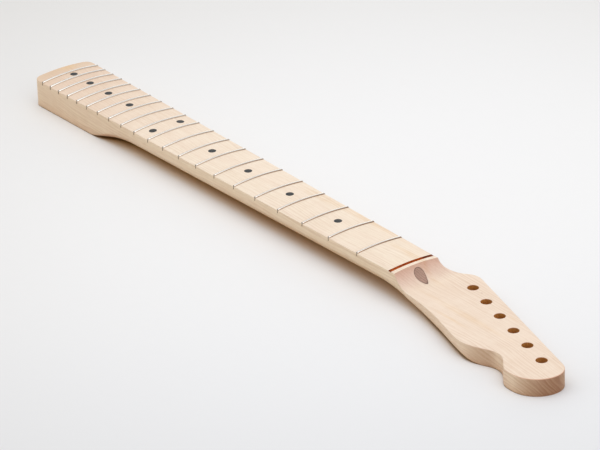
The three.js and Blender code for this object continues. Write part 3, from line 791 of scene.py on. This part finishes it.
class Shader(Graph):
    """A surface material. Feature sizes are in metres."""

    def __init__(self, name):
        self.material = bpy.data.materials.new(name)
        self.material.use_nodes = True
        super().__init__(self.material.node_tree)
        self.tree.nodes.clear()
        self.output = self.add("ShaderNodeOutputMaterial")
        self.coords = self.add("ShaderNodeTexCoord")
        self.place = self.coords.outputs["Object"]

    def sized(self, sizes, turn=0.0):
        """The place in a frame turned about the neck's length, in features of these sizes."""
        inputs = {"Vector": self.place, "Rotation": (turn, 0.0, 0.0), "Scale": sizes}
        return self.add("ShaderNodeMapping", inputs, vector_type="TEXTURE").outputs[0]

    def noise(self, sizes, detail=2.0, roughness=0.5, turn=0.0):
        inputs = {"Vector": self.sized(sizes, turn), "Scale": 1.0}
        inputs.update({"Detail": detail, "Roughness": roughness})
        return self.add("ShaderNodeTexNoise", inputs).outputs[0]

    def ramp(self, value, start, end, low=0.0, high=1.0):
        """Low up to the start, high from the end on, and smooth between them."""
        inputs = {0: value, 1: start, 2: end, 3: low, 4: high}
        return self.add("ShaderNodeMapRange", inputs, interpolation_type="SMOOTHSTEP").outputs[0]

    def fall(self, value, start, end):
        return self.ramp(value, start, end, 1.0, 0.0)

    def blend(self, factor, a, b, kind="MIX"):
        """Colour a, and b in its place (or multiplied with it) as far as the factor says."""
        node = self.add("ShaderNodeMix", data_type="RGBA", blend_type=kind)
        for index, value in ((0, factor), (6, a), (7, b)):
            self.join(value, node.inputs[index])
        return node.outputs[2]

    def size(self, value):
        return self.math("ABSOLUTE", value)

    def axes(self, socket):
        return self.add("ShaderNodeSeparateXYZ", {0: socket}).outputs

    def spot(self, centre, reach):
        """1 at a place on the plan (mm), fading to 0 at its reach along and across the neck."""
        middle = (centre[0] * MM, centre[1] * MM, 0.0)
        scale = (1 / MM / reach[0], 1 / MM / reach[1], 0.0)
        away = self.vector("MULTIPLY", self.vector("SUBTRACT", self.place, middle)[0], scale)[0]
        return self.fall(self.vector("LENGTH", away)["Value"], 0.0, 1.0)

    def shading(self, distance, samples):
        inputs = {"Distance": distance}
        return self.add("ShaderNodeAmbientOcclusion", inputs, samples=samples).outputs["AO"]

    def finish(self, colour, roughness, relief=None, specular=0.5, metallic=0.0):
        """Ends the material in one shader. Relief is (height, strength, distance)."""
        inputs = {"Base Color": colour, "Roughness": roughness}
        inputs.update({"Specular IOR Level": specular, "Metallic": metallic})
        if relief:
            bump = dict(zip(("Height", "Strength", "Distance"), relief))
            inputs["Normal"] = self.add("ShaderNodeBump", bump).outputs[0]
        shader = self.add("ShaderNodeBsdfPrincipled", inputs)
        self.join(shader.outputs[0], self.output.inputs["Surface"])
        return self.material


# Growth layers: their tilt about the neck's length, their spacing, and how late wood comes and goes
LAYER_TILT = math.radians(42)
MAPLE_LAYER = 0.00205
SAWN_LAYER = 0.0043
WALNUT_LAYER = 0.0016
LAYER_UNEVENNESS = 1.7
LATE_WOOD_RISE = (0.3, 0.82)
LATE_WOOD_FALL = (0.86, 1.0)

# How the grain bends: how far it wanders, where and how it turns near the tip and sinks to the heel
GRAIN_WANDER = 0.012
TIP_TURN = (0.515, 0.66)
HEEL_SINK = (0.06, 0.06)

# Sizes of the woods' features: along the neck, across the layers and along them
WANDER_SIZE = (0.11, 0.05, 0.05)
UNEVEN_SIZE = (0.05, 0.0034, 0.02)
PATCH_SIZE = (0.09, 0.012, 0.03)
BAND_SIZE = (0.16, 0.0065, 0.03)
STREAK_SIZE = (0.035, 0.0009, 0.004)
FIBRE_SIZE = (0.012, 0.00035, 0.0012)
CURL_SIZE = (0.009, 0.03, 0.03)
BURN_AND_SHADE_SIZE = (0.012, 0.0012, 0.0012)
PORE_SIZE = (0.01, 0.0004, 0.0006)

# Marks on the maple that stand out: middle and reach on the plan (mm), and strength
FLAMES = (
    ((424, 7), (46, 5), 0.6),
    ((360, 19), (70, 6), 0.55),
    ((300, 17), (50, 8), 0.45),
    ((505, -10), (70, 5), 0.5),
    ((502, -21.5), (26, 2.2), 0.6),
    ((531, 13), (9, 1.6), 0.5),
    ((-39, 4), (9, 13), 1.0),
)
FLECKS = (
    ((484.7, 21.7), (1.9, 0.9), 0.5),
    ((499, 20.5), (1.2, 0.9), 0.35),
    ((586, -4.8), (1.6, 0.8), 0.4),
)

# Tones that are laid over each other on the maple
PALE_BAND, WARM_BAND = (0.902, 0.787, 0.643), (0.889, 0.755, 0.619)
TAN = (0.776, 0.602, 0.472)
HEEL_STRIP = (0.677, 0.493, 0.327)
HEADSTOCK = (0.856, 0.709, 0.58)
FLAME = (0.79, 0.55, 0.30)
LATE_WOOD = (0.62, 0.42, 0.28)
SAWN_LATE_WOOD = (0.52, 0.28, 0.17)
STREAK = (0.70, 0.53, 0.38)
FLECK = (0.45, 0.25, 0.16)
FIBRE = (0.60, 0.43, 0.31)
CURL = (0.98, 0.9, 0.78)
# Painted shade on the rounded rim near the tip
TIP_RIM_SHADE = (0.72, 0.42, 0.27)
# A dark seam with painted shade where each fret's slot opens
SEAM_AND_SHADE = (0.22, 0.13, 0.07)

# Painted shade: tones by which faces that turn away from the top, and creases, are multiplied
SIDE_SHADE = (0.995, 0.922, 0.797)
TIPWARD_SHADE = (0.77, 0.565, 0.57)
TIP_WALL_SHADE = (0.60, 0.595, 0.47)
ROUNDING_SHADE = (0.82, 0.74, 0.64)
CREASE_SHADE = (0.66, 0.43, 0.26)

# Zones of the maple along the neck (m): start, end, strength before and strength after
MAPLE_ZONES = {
    "tan": (-0.045, 0.17, 1.0, 0.0),
    "heel_strip": (-0.043, -0.018, 0.75, 0.0),
    "headstock": (0.43, 0.47, 0.0, 1.0),
    "bold_lines": (0.42, 0.46, 0.26, 0.36),
    "rounding": (0.1, 0.36, 0.0, 1.0),
    "rounding_end": (0.42, 0.46, 1.0, 0.0),
    "tip_rim_shade": (0.58, 0.6, 0.0, 0.85),
    "seams": (0.0, 0.22, 1.0, 0.15),
    "crease": (0.06, 0.3, 0.6, 1.0),
    "crease_end": (0.42, 0.47, 1.0, 0.6),
}

# Dark seams with painted shade where the frets' slots open: distance from the fret's middle,
# and height on the board where they begin
SEAM_REACH = (0.0003, 0.0008)
SEAM_LEVEL = (0.0229, 0.0235)
FRET_RATIO = 2 ** (1 / 12)
CREASE_DISTANCE = 0.02


def bend_grain(shader):
    """Shifts the place across the neck, so that growth layers wander, sink and turn."""
    x, y, z = shader.axes(shader.place)
    wander = shader.noise(WANDER_SIZE, 2.0, 0.4)
    shift = shader.scaled(wander, GRAIN_WANDER, -GRAIN_WANDER / 2)
    tip = shader.math("MAXIMUM", shader.math("ADD", x, -TIP_TURN[0]), 0.0)
    shift = shader.scaled(shader.math("POWER", tip, 2.0), TIP_TURN[1], shift)
    heel = shader.math("MINIMUM", shader.math("ADD", x, -HEEL_SINK[0]), 0.0)
    shift = shader.scaled(heel, HEEL_SINK[1], shift)
    y = shader.math("ADD", y, shift)
    shader.place = shader.add("ShaderNodeCombineXYZ", {0: x, 1: y, 2: z}).outputs[0]


def growth_lines(shader, spacing):
    """How much late wood shows, from 0 to 1."""
    across = shader.axes(shader.sized((1.0, spacing, 1.0), LAYER_TILT))[1]
    uneven = shader.noise(UNEVEN_SIZE, 1.0, 0.5, LAYER_TILT)
    layer = shader.scaled(uneven, LAYER_UNEVENNESS, across)
    phase = shader.math("FRACT", layer)
    rise = shader.ramp(phase, *LATE_WOOD_RISE)
    return shader.times(rise, shader.fall(phase, *LATE_WOOD_FALL))


def fret_seams(shader, x):
    """Distance along the neck from the nearest fret's middle, and 1 where there are frets."""
    reach = shader.math("ADD", x, (SCALE_LENGTH - NUT_X) * MM)
    share = shader.math("DIVIDE", reach, SCALE_LENGTH * MM)
    step = shader.math("LOGARITHM", share, FRET_RATIO)
    nearest = shader.math("ROUND", step)
    gap = shader.times(shader.math("SUBTRACT", step, nearest), reach)
    before_last = shader.math("GREATER_THAN", nearest, -FRETS - 0.5)
    fretted = shader.times(before_last, shader.math("LESS_THAN", nearest, -0.5))
    return shader.times(gap, math.log(FRET_RATIO)), fretted


def maple(name):
    """Sanded maple: bands, growth lines, streaks and fibres, with painted shade on sides, tip rim,
    slot openings and creases.
    """
    shader = Shader(name)
    x, y, z = shader.axes(shader.place)
    normal = shader.axes(shader.coords.outputs["Normal"])
    flames = [(shader.spot(centre, reach), weight) for centre, reach, weight in FLAMES]
    flecks = [(shader.spot(centre, reach), weight) for centre, reach, weight in FLECKS]
    zone = {key: shader.ramp(x, *stops) for key, stops in MAPLE_ZONES.items()}
    gap, fretted = fret_seams(shader, x)
    level = shader.scaled(shader.times(y, y), 0.5 / (BOARD_RADIUS * MM), z)
    bend_grain(shader)

    # Ways that a face may look
    up = shader.ramp(normal[2], 0.3, 0.9)
    upright = shader.fall(shader.size(normal[2]), 0.0, 0.4)
    tipward = shader.math("MAXIMUM", normal[0], 0.0)
    tip_wall = shader.times(shader.math("POWER", tipward, 1.2), upright)
    sawn_end = shader.times(shader.math("POWER", shader.size(normal[0]), 1.2), upright)

    # Patterns of the wood
    lines = growth_lines(shader, MAPLE_LAYER)
    patches = shader.noise(PATCH_SIZE, 1.0, 0.5, LAYER_TILT)
    lines = shader.times(lines, shader.ramp(patches, 0.35, 0.65, 0.15, 1.0))
    bands = shader.noise(BAND_SIZE, 3.0, 0.55, LAYER_TILT)
    streaks = shader.noise(STREAK_SIZE, 3.0, 0.6, LAYER_TILT)
    fibres = shader.noise(FIBRE_SIZE, 3.0, 0.65, LAYER_TILT)
    curl = shader.noise(CURL_SIZE, 2.0, 0.5)

    # Ground: bands, darker toward the heel (more on faces that look up) and deeper on the headstock
    colour = shader.blend(shader.ramp(bands, 0.3, 0.7), PALE_BAND, WARM_BAND)
    tan = shader.times(zone["tan"], shader.scaled(up, 0.6, 0.4))
    colour = shader.blend(tan, colour, TAN)
    colour = shader.blend(shader.times(zone["heel_strip"], up), colour, HEEL_STRIP)
    colour = shader.blend(zone["headstock"], colour, HEADSTOCK)

    # Grain
    for mask, weight in flames:
        flame = shader.times(mask, shader.ramp(streaks, 0.35, 0.65, 0.25, 1.0))
        colour = shader.blend(shader.times(flame, weight), colour, FLAME)
    bold = shader.scaled(sawn_end, 0.2, zone["bold_lines"])
    bold = shader.scaled(upright, 0.1, bold)
    colour = shader.blend(shader.times(lines, bold), colour, LATE_WOOD)
    coarse = shader.times(growth_lines(shader, SAWN_LAYER), shader.times(sawn_end, 0.4))
    colour = shader.blend(coarse, colour, SAWN_LATE_WOOD)
    colour = shader.blend(shader.ramp(streaks, 0.38, 0.68, 0.0, 0.3), colour, STREAK)
    for mask, weight in flecks:
        colour = shader.blend(shader.times(shader.times(mask, weight), up), colour, FLECK)
    colour = shader.blend(shader.ramp(fibres, 0.53, 0.73, 0.0, 0.4), colour, FIBRE)
    colour = shader.blend(shader.ramp(curl, 0.4, 0.7, 0.0, 0.1), colour, CURL)

    # Painted shade on faces that turn away from the top (toward the tip partly end grain's darker
    # tone), and on the rounded rim near the tip
    aside = shader.fall(normal[2], -0.2, 0.9)
    colour = shader.blend(aside, colour, SIDE_SHADE, "MULTIPLY")
    colour = shader.blend(shader.math("POWER", tipward, 1.3), colour, TIPWARD_SHADE, "MULTIPLY")
    colour = shader.blend(tip_wall, colour, TIP_WALL_SHADE, "MULTIPLY")
    below = shader.ramp(normal[2], -0.95, -0.6)
    rounding = shader.times(below, shader.fall(normal[2], -0.55, -0.15))
    rounding = shader.times(shader.times(rounding, zone["rounding"]), zone["rounding_end"])
    colour = shader.blend(rounding, colour, ROUNDING_SHADE, "MULTIPLY")
    # Painted shade on the rounded rim near the tip
    leaning = shader.ramp(normal[2], 0.2, 0.5)
    rim = shader.times(leaning, shader.fall(normal[2], 0.7, 0.95))
    colour = shader.blend(shader.times(rim, zone["tip_rim_shade"]), colour, TIP_RIM_SHADE)

    # Dark seams with painted shade where the frets' slots open under their ends, and painted shade
    # in creases
    seam_and_shade = shader.ramp(shader.size(gap), *SEAM_REACH, 0.85, 0.0)
    seam_and_shade = shader.times(seam_and_shade, shader.times(upright, shader.ramp(level, *SEAM_LEVEL)))
    seam_and_shade = shader.times(shader.times(seam_and_shade, zone["seams"]), fretted)
    colour = shader.blend(seam_and_shade, colour, SEAM_AND_SHADE)
    crease = shader.fall(shader.shading(CREASE_DISTANCE, 8), 0.38, 0.66)
    crease = shader.times(crease, shader.times(zone["crease"], zone["crease_end"]))
    colour = shader.blend(crease, colour, CREASE_SHADE, "MULTIPLY")

    relief = shader.scaled(lines, 0.5, fibres)
    rough = shader.scaled(fibres, 0.18, 0.42)
    return shader.finish(colour, rough, (relief, 0.15, 0.0001), specular=0.35)


# Ends of the nut slot along y (m): where they start and are full, on the bass and the treble side
SLOT_ENDS = ((0.009, 0.014, 0.0, 1.0), (-0.020, -0.0165, 1.0, 0.0))


def scorch_and_shade(name, dark, light, ends=None):
    """Dark wood for cut faces, with another tone at both ends of the nut slot where asked."""
    shader = Shader(name)
    fibres = shader.noise(BURN_AND_SHADE_SIZE, 3.0, 0.6)
    colour = shader.blend(shader.ramp(fibres, 0.3, 0.7), dark, light)
    if ends:
        y = shader.axes(shader.place)[1]
        bass, treble = (shader.ramp(y, *stops) for stops in SLOT_ENDS)
        colour = shader.blend(shader.math("MAXIMUM", bass, treble), colour, ends)
    return shader.finish(colour, 0.7, (fibres, 0.2, 0.0002), specular=0.2)


WALNUT_EARLY, WALNUT_LATE = (0.45, 0.285, 0.222), (0.27, 0.155, 0.11)
WALNUT_PORE = (0.14, 0.08, 0.055)
GLUE_LINE = (0.10, 0.055, 0.04)
GLUE_RADII = (0.0038, 0.0044)


def walnut(name, rimmed=False):
    """Walnut, with a dark glue line round the plug where asked."""
    shader = Shader(name)
    lines = growth_lines(shader, WALNUT_LAYER)
    pores = shader.noise(PORE_SIZE, 2.0, 0.6)
    colour = shader.blend(shader.times(lines, 0.5), WALNUT_EARLY, WALNUT_LATE)
    colour = shader.blend(shader.ramp(pores, 0.52, 0.68, 0.0, 0.6), colour, WALNUT_PORE)
    if rimmed:
        away = shader.vector("SUBTRACT", shader.place, (0.0, 0.0, PLUG_AXIS_Z * MM))[0]
        away = shader.vector("MULTIPLY", away, (0.0, 1.0, 1.0))[0]
        glue = shader.ramp(shader.vector("LENGTH", away)["Value"], *GLUE_RADII, 0.0, 0.75)
        colour = shader.blend(glue, colour, GLUE_LINE)
    rough = shader.scaled(pores, 0.2, 0.45)
    return shader.finish(colour, rough, (pores, 0.2, 0.0002))


# Tones of the fret wire, with a painted wood reflection and painted shade on its flanks and
# bass end, and zones of them along the neck and across it (m)
NICKEL_DIM, NICKEL_BRIGHT = (0.88, 0.865, 0.82), (0.94, 0.925, 0.885)
FLANK_WOOD_REFLECTION = (0.86, 0.57, 0.38)
FLANK_DARKEST_SHADE = (0.12, 0.05, 0.02)
HEEL_FLANK_SHADE = (0.72, 0.62, 0.52)
FILED_END = (0.48, 0.42, 0.36)
BASS_END_SHADE = (0.30, 0.20, 0.14)
FLANK_SHADE_ALONG, FLANK_SHADE_ACROSS = (-0.04, 0.42, 0.15, 0.85), (-0.028, 0.02, 0.72, 1.0)
UNSHADED_ALONG, UNSHADED_ACROSS = (0.0, 0.15, 0.95, 0.0), (-0.02, 0.015)
HEEL_FLANK_SHADE_ALONG = (0.0, 0.2, 0.8, 0.1)


def nickel(name):
    """Fret wire: polished top, greyer filed ends, painted reflection and shade down flanks, most by
    the nut.
    """
    shader = Shader(name)
    x, y, _ = shader.axes(shader.place)
    normal = shader.axes(shader.coords.outputs["Normal"])
    scratches = shader.noise((0.0004, 0.012, 0.0004), 2.0, 0.6)
    haze = shader.noise((0.006, 0.012, 0.006), 2.0, 0.5)
    colour = shader.blend(haze, NICKEL_DIM, NICKEL_BRIGHT)
    # Painted: the wood's reflection and shade down the flanks, most of all by the nut
    flank = shader.size(normal[0])
    painted_flank = shader.times(shader.ramp(x, *FLANK_SHADE_ALONG), shader.ramp(y, *FLANK_SHADE_ACROSS))
    low = shader.times(shader.ramp(flank, 0.3, 0.65), painted_flank)
    colour = shader.blend(low, colour, FLANK_WOOD_REFLECTION)
    lowest = shader.times(shader.ramp(flank, 0.66, 0.9), painted_flank)
    colour = shader.blend(lowest, colour, FLANK_DARKEST_SHADE)
    # Painted shade on the heel-side flank, kept off near the heel on the bass side
    unshaded = shader.times(shader.ramp(x, *UNSHADED_ALONG), shader.ramp(y, *UNSHADED_ACROSS))
    far = shader.fall(normal[0], -0.2, 0.02)
    far = shader.times(far, shader.ramp(x, *HEEL_FLANK_SHADE_ALONG))
    far = shader.times(far, shader.math("SUBTRACT", 1.0, unshaded))
    colour = shader.blend(far, colour, HEEL_FLANK_SHADE)
    filed = shader.ramp(shader.size(normal[1]), 0.3, 0.6)
    colour = shader.blend(filed, colour, FILED_END)
    # Painted shade on the bass end
    colour = shader.blend(shader.ramp(normal[1], 0.16, 0.3, 0.0, 0.9), colour, BASS_END_SHADE)
    rough = shader.scaled(scratches, 0.12, 0.1)
    rough = shader.scaled(filed, 0.25, rough)
    return shader.finish(colour, rough, (scratches, 0.04, 0.00002), metallic=1.0)


def black_plastic(name):
    shader = Shader(name)
    grain = shader.noise((0.0014, 0.0014, 0.0014), 3.0, 0.6)
    colour = shader.blend(grain, (0.014, 0.017, 0.019), (0.03, 0.035, 0.037))
    rough = shader.scaled(grain, 0.2, 0.36)
    return shader.finish(colour, rough, (grain, 0.08, 0.0001), specular=0.3)


def steel(name):
    """Steel with fine turning marks across the rod's length."""
    shader = Shader(name)
    turning = shader.noise((0.0003, 0.01, 0.01), 2.0, 0.6)
    colour = shader.blend(turning, (0.45, 0.45, 0.46), (0.62, 0.62, 0.64))
    rough = shader.scaled(turning, 0.2, 0.28)
    return shader.finish(colour, rough, (turning, 0.1, 0.0001), metallic=1.0)


# Paper in a painted pool of light: its pale ellipse, how the painted fall-off levels out,
# and the way along which painted shade makes it darker and cooler
PAPER_MIDDLE = (0.317, 0.109, 0.0)
PAPER_TURN = 0.9
PAPER_REACH = (0.684, 0.715, 1.0)
PAPER_LEVEL = (0.95, 0.45)
PAPER_FALL = (0.078, 2.0)
PAPER_DIM, PAPER_PALE = (0.860, 0.871, 0.881), (0.870, 0.881, 0.891)
PAPER_LIGHT_FALLOFF = (0.385, 0.356, 0.30)
COOL_WAY, COOL_RUN = (0.845, -0.535, 0.0), (0.2, 0.75)
COOL_SHADE = (0.965, 0.98, 1.01)

# The neck's warm shadow on the paper, and the dark line where they touch
SHADOW_DISTANCE, TOUCH_DISTANCE = 0.03, 0.004
SHADOW_SHADE = (0.84, 0.55, 0.2)
TOUCH_SHADE = (0.45, 0.36, 0.26)


def studio_paper(name):
    """Pale paper in a painted pool of light, with painted shade cooling one side, and warm in the
    neck's shadow.
    """
    shader = Shader(name)
    fleck = shader.noise((0.01, 0.01, 0.01), 3.0)
    inputs = {
        "Vector": shader.place,
        "Location": PAPER_MIDDLE,
        "Rotation": (0.0, 0.0, PAPER_TURN),
        "Scale": PAPER_REACH,
    }
    away = shader.add("ShaderNodeMapping", inputs, vector_type="TEXTURE").outputs[0]
    away = shader.math("SMOOTH_MIN", shader.vector("LENGTH", away)["Value"], *PAPER_LEVEL)
    colour = shader.blend(fleck, PAPER_DIM, PAPER_PALE)
    # Painted fall-off of the light away from the middle
    colour = shader.blend(shader.ramp(away, *PAPER_FALL), colour, PAPER_LIGHT_FALLOFF)
    toward = shader.vector("DOT_PRODUCT", shader.place, COOL_WAY)["Value"]
    # Painted shade, darker and cooler along one way
    colour = shader.blend(shader.ramp(toward, *COOL_RUN), colour, COOL_SHADE, "MULTIPLY")
    shadow = shader.fall(shader.shading(SHADOW_DISTANCE, 16), 0.02, 0.54)
    colour = shader.blend(shadow, colour, SHADOW_SHADE, "MULTIPLY")
    touch = shader.ramp(shader.shading(TOUCH_DISTANCE, 16), 0.3, 0.62, 0.8, 0.0)
    colour = shader.blend(touch, colour, TOUCH_SHADE, "MULTIPLY")
    return shader.finish(colour, 0.9, specular=0.2)


MAPLE = maple("maple_sanded")
# Nut slot: cutter burn and painted shade, darkest at both ends; tuner holes: cutter burn
SLOT_TONES = ((0.40, 0.08, 0.012), (0.62, 0.155, 0.022), (0.22, 0.045, 0.008))
SLOT_BURN_AND_SHADE = scorch_and_shade("maple_slot", *SLOT_TONES)
HOLE_BURN = scorch_and_shade("maple_drilled", (0.45, 0.19, 0.045), (0.60, 0.28, 0.08))
# Painted shade in the frets' slots
TANG_SLOT_SHADE = scorch_and_shade("maple_tang_slot_shade", (0.16, 0.11, 0.06), (0.26, 0.18, 0.1))
WALNUT = walnut("walnut_grain")
PLUG_WALNUT = walnut("walnut_plug_grain", True)
NICKEL = nickel("nickel_silver_wire")
PLASTIC = black_plastic("black_dot_plastic")
STEEL = steel("turned_steel")
PAPER = studio_paper("studio_paper")


def place(piece, node, body, slot, *materials):
    piece.data.materials.clear()
    for material in materials:
        piece.data.materials.append(material)
    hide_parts(node)
    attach(piece, body)


# Places among the maple piece's materials, and how near to a cut one of its faces lies
IN_SLOT, IN_POST_HOLE, IN_TANG_SLOT = 1, 2, 3
NEAR_CUT = 0.02
NEAR_BORE = 0.05
TANG_SLOT_REACH = 8


def mark_cut_faces(mesh):
    """Gives the nut slot, the tuner holes and the frets' slots their own materials."""
    posts = np.array(POSTS_XY)
    frets = np.array([fret_x(fret) for fret in range(1, FRETS + 1)])
    for face in mesh.polygons:
        x, y, z = (c / MM for c in face.center)
        n = face.normal
        face.material_index = 0
        below_board = z < board_z(y) - NEAR_CUT
        above_floor = CROWN - NUT_SLOT[1] - NEAR_BORE < z
        at_fret = np.abs(frets - x).min() < TANG_SLOT[0] / 2 + NEAR_CUT
        if SLOT_START - NEAR_CUT < x < SLOT_END + NEAR_CUT and above_floor and below_board:
            if abs(n.x) > 0.9 or n.z > 0.99:
                face.material_index = IN_SLOT
        # The frets' slots take the painted shade material
        elif at_fret and CROWN - TANG_SLOT_REACH < z and below_board and abs(n.y) < 0.7:
            face.material_index = IN_TANG_SLOT
        elif x > NUT_X + FIRST_POST[0] / 2 and abs(n.z) < 0.3:
            if np.hypot(posts[:, 0] - x, posts[:, 1] - y).min() < POST_HOLE_RADIUS + NEAR_BORE:
                face.material_index = IN_POST_HOLE


place(maple_neck, "neck", "neck", "maple", MAPLE, SLOT_BURN_AND_SHADE, HOLE_BURN, TANG_SLOT_SHADE)
mark_cut_faces(maple_neck.data)
place(walnut_plug, "headstock_plug", "neck", "walnut", PLUG_WALNUT)
place(walnut_stripe, "back_stripe", "neck", "walnut", WALNUT)
for fret in range(1, FRETS + 1):
    place(fret_wire(fret), f"fret_{fret:02d}", "neck", "nickel_silver", NICKEL)
for fret, suffix, y, shift in DOTS:
    place(dot_inlay(fret, suffix, y), f"dot_{fret:02d}{suffix}", "neck", "black_plastic", PLASTIC)
    node = f"side_dot_{fret:02d}{suffix}"
    place(side_dot(fret, suffix, shift), node, "neck", "black_plastic", PLASTIC)
place(rod_nut(), "truss_rod_nut", "truss_rod_nut", "steel", STEEL)
for node in ("truss_rod", "truss_rod_anchor", "truss_rod_washer"):
    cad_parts[node].data.materials.clear()
    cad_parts[node].data.materials.append(STEEL)

floor = floor_plane()
floor.data.materials.append(PAPER)


# Light: soft pools, each (elevation, azimuth, tightness, colour)
SKY = (
    (90, 0, 7, (1.610, 1.610, 1.663)),
    (48, 0, 7, (1.130, 1.106, 1.079)),
    (48, 60, 7, (0.177, 0.177, 0.175)),
    (48, 180, 7, (0.500, 0.492, 0.480)),
    (48, 240, 7, (1.030, 0.999, 0.963)),
    (14, 0, 7, (0.962, 0.942, 0.918)),
    (14, 60, 7, (0.566, 0.557, 0.545)),
    (14, 120, 7, (0.900, 0.886, 0.866)),
    (14, 180, 7, (0.550, 0.540, 0.527)),
    (14, 240, 7, (0.550, 0.536, 0.519)),
    (18, 138, 30, (0.750, 0.740, 0.730)),
)


def studio_sky():
    """A world that is the sum of the sky's pools."""
    world = bpy.data.worlds.new("studio_sky")
    bpy.context.scene.world = world
    world.use_nodes = True
    graph = Graph(world.node_tree)
    graph.tree.nodes.clear()
    way = graph.add("ShaderNodeTexCoord").outputs["Generated"]
    total = (0.0, 0.0, 0.0)
    for elevation, azimuth, tightness, colour in SKY:
        e, a = math.radians(elevation), math.radians(azimuth)
        centre = (math.cos(e) * math.cos(a), math.cos(e) * math.sin(a), math.sin(e))
        near = graph.math("MAXIMUM", graph.vector("DOT_PRODUCT", way, centre)["Value"], 0.0)
        total = graph.vector("MULTIPLY_ADD", graph.math("POWER", near, tightness), colour, total)[0]
    light = graph.add("ShaderNodeBackground", {"Color": total, "Strength": 1.0})
    output = graph.add("ShaderNodeOutputWorld")
    graph.join(light.outputs[0], output.inputs["Surface"])


studio_sky()

# Camera: focal length and film width in millimetres, place in metres, turn in radians
LENS = 208.4456
FILM_WIDTH = 36.0
CLIP_RANGE = (0.1, 100.0)
CAMERA_PLACE = (2.235143, -1.418608, 1.193063)
CAMERA_TURN = (1.1114896, 0.0283659, 0.9264539)

camera = bpy.data.objects.new("camera", bpy.data.cameras.new("camera"))
camera.data.lens = LENS
camera.data.sensor_width = FILM_WIDTH
camera.data.clip_start, camera.data.clip_end = CLIP_RANGE
camera.location = CAMERA_PLACE
camera.rotation_euler = CAMERA_TURN
bpy.context.scene.collection.objects.link(camera)
bpy.context.scene.camera = camera
bpy.context.scene.view_settings.view_transform = "Standard"

bpy.context.view_layer.update()
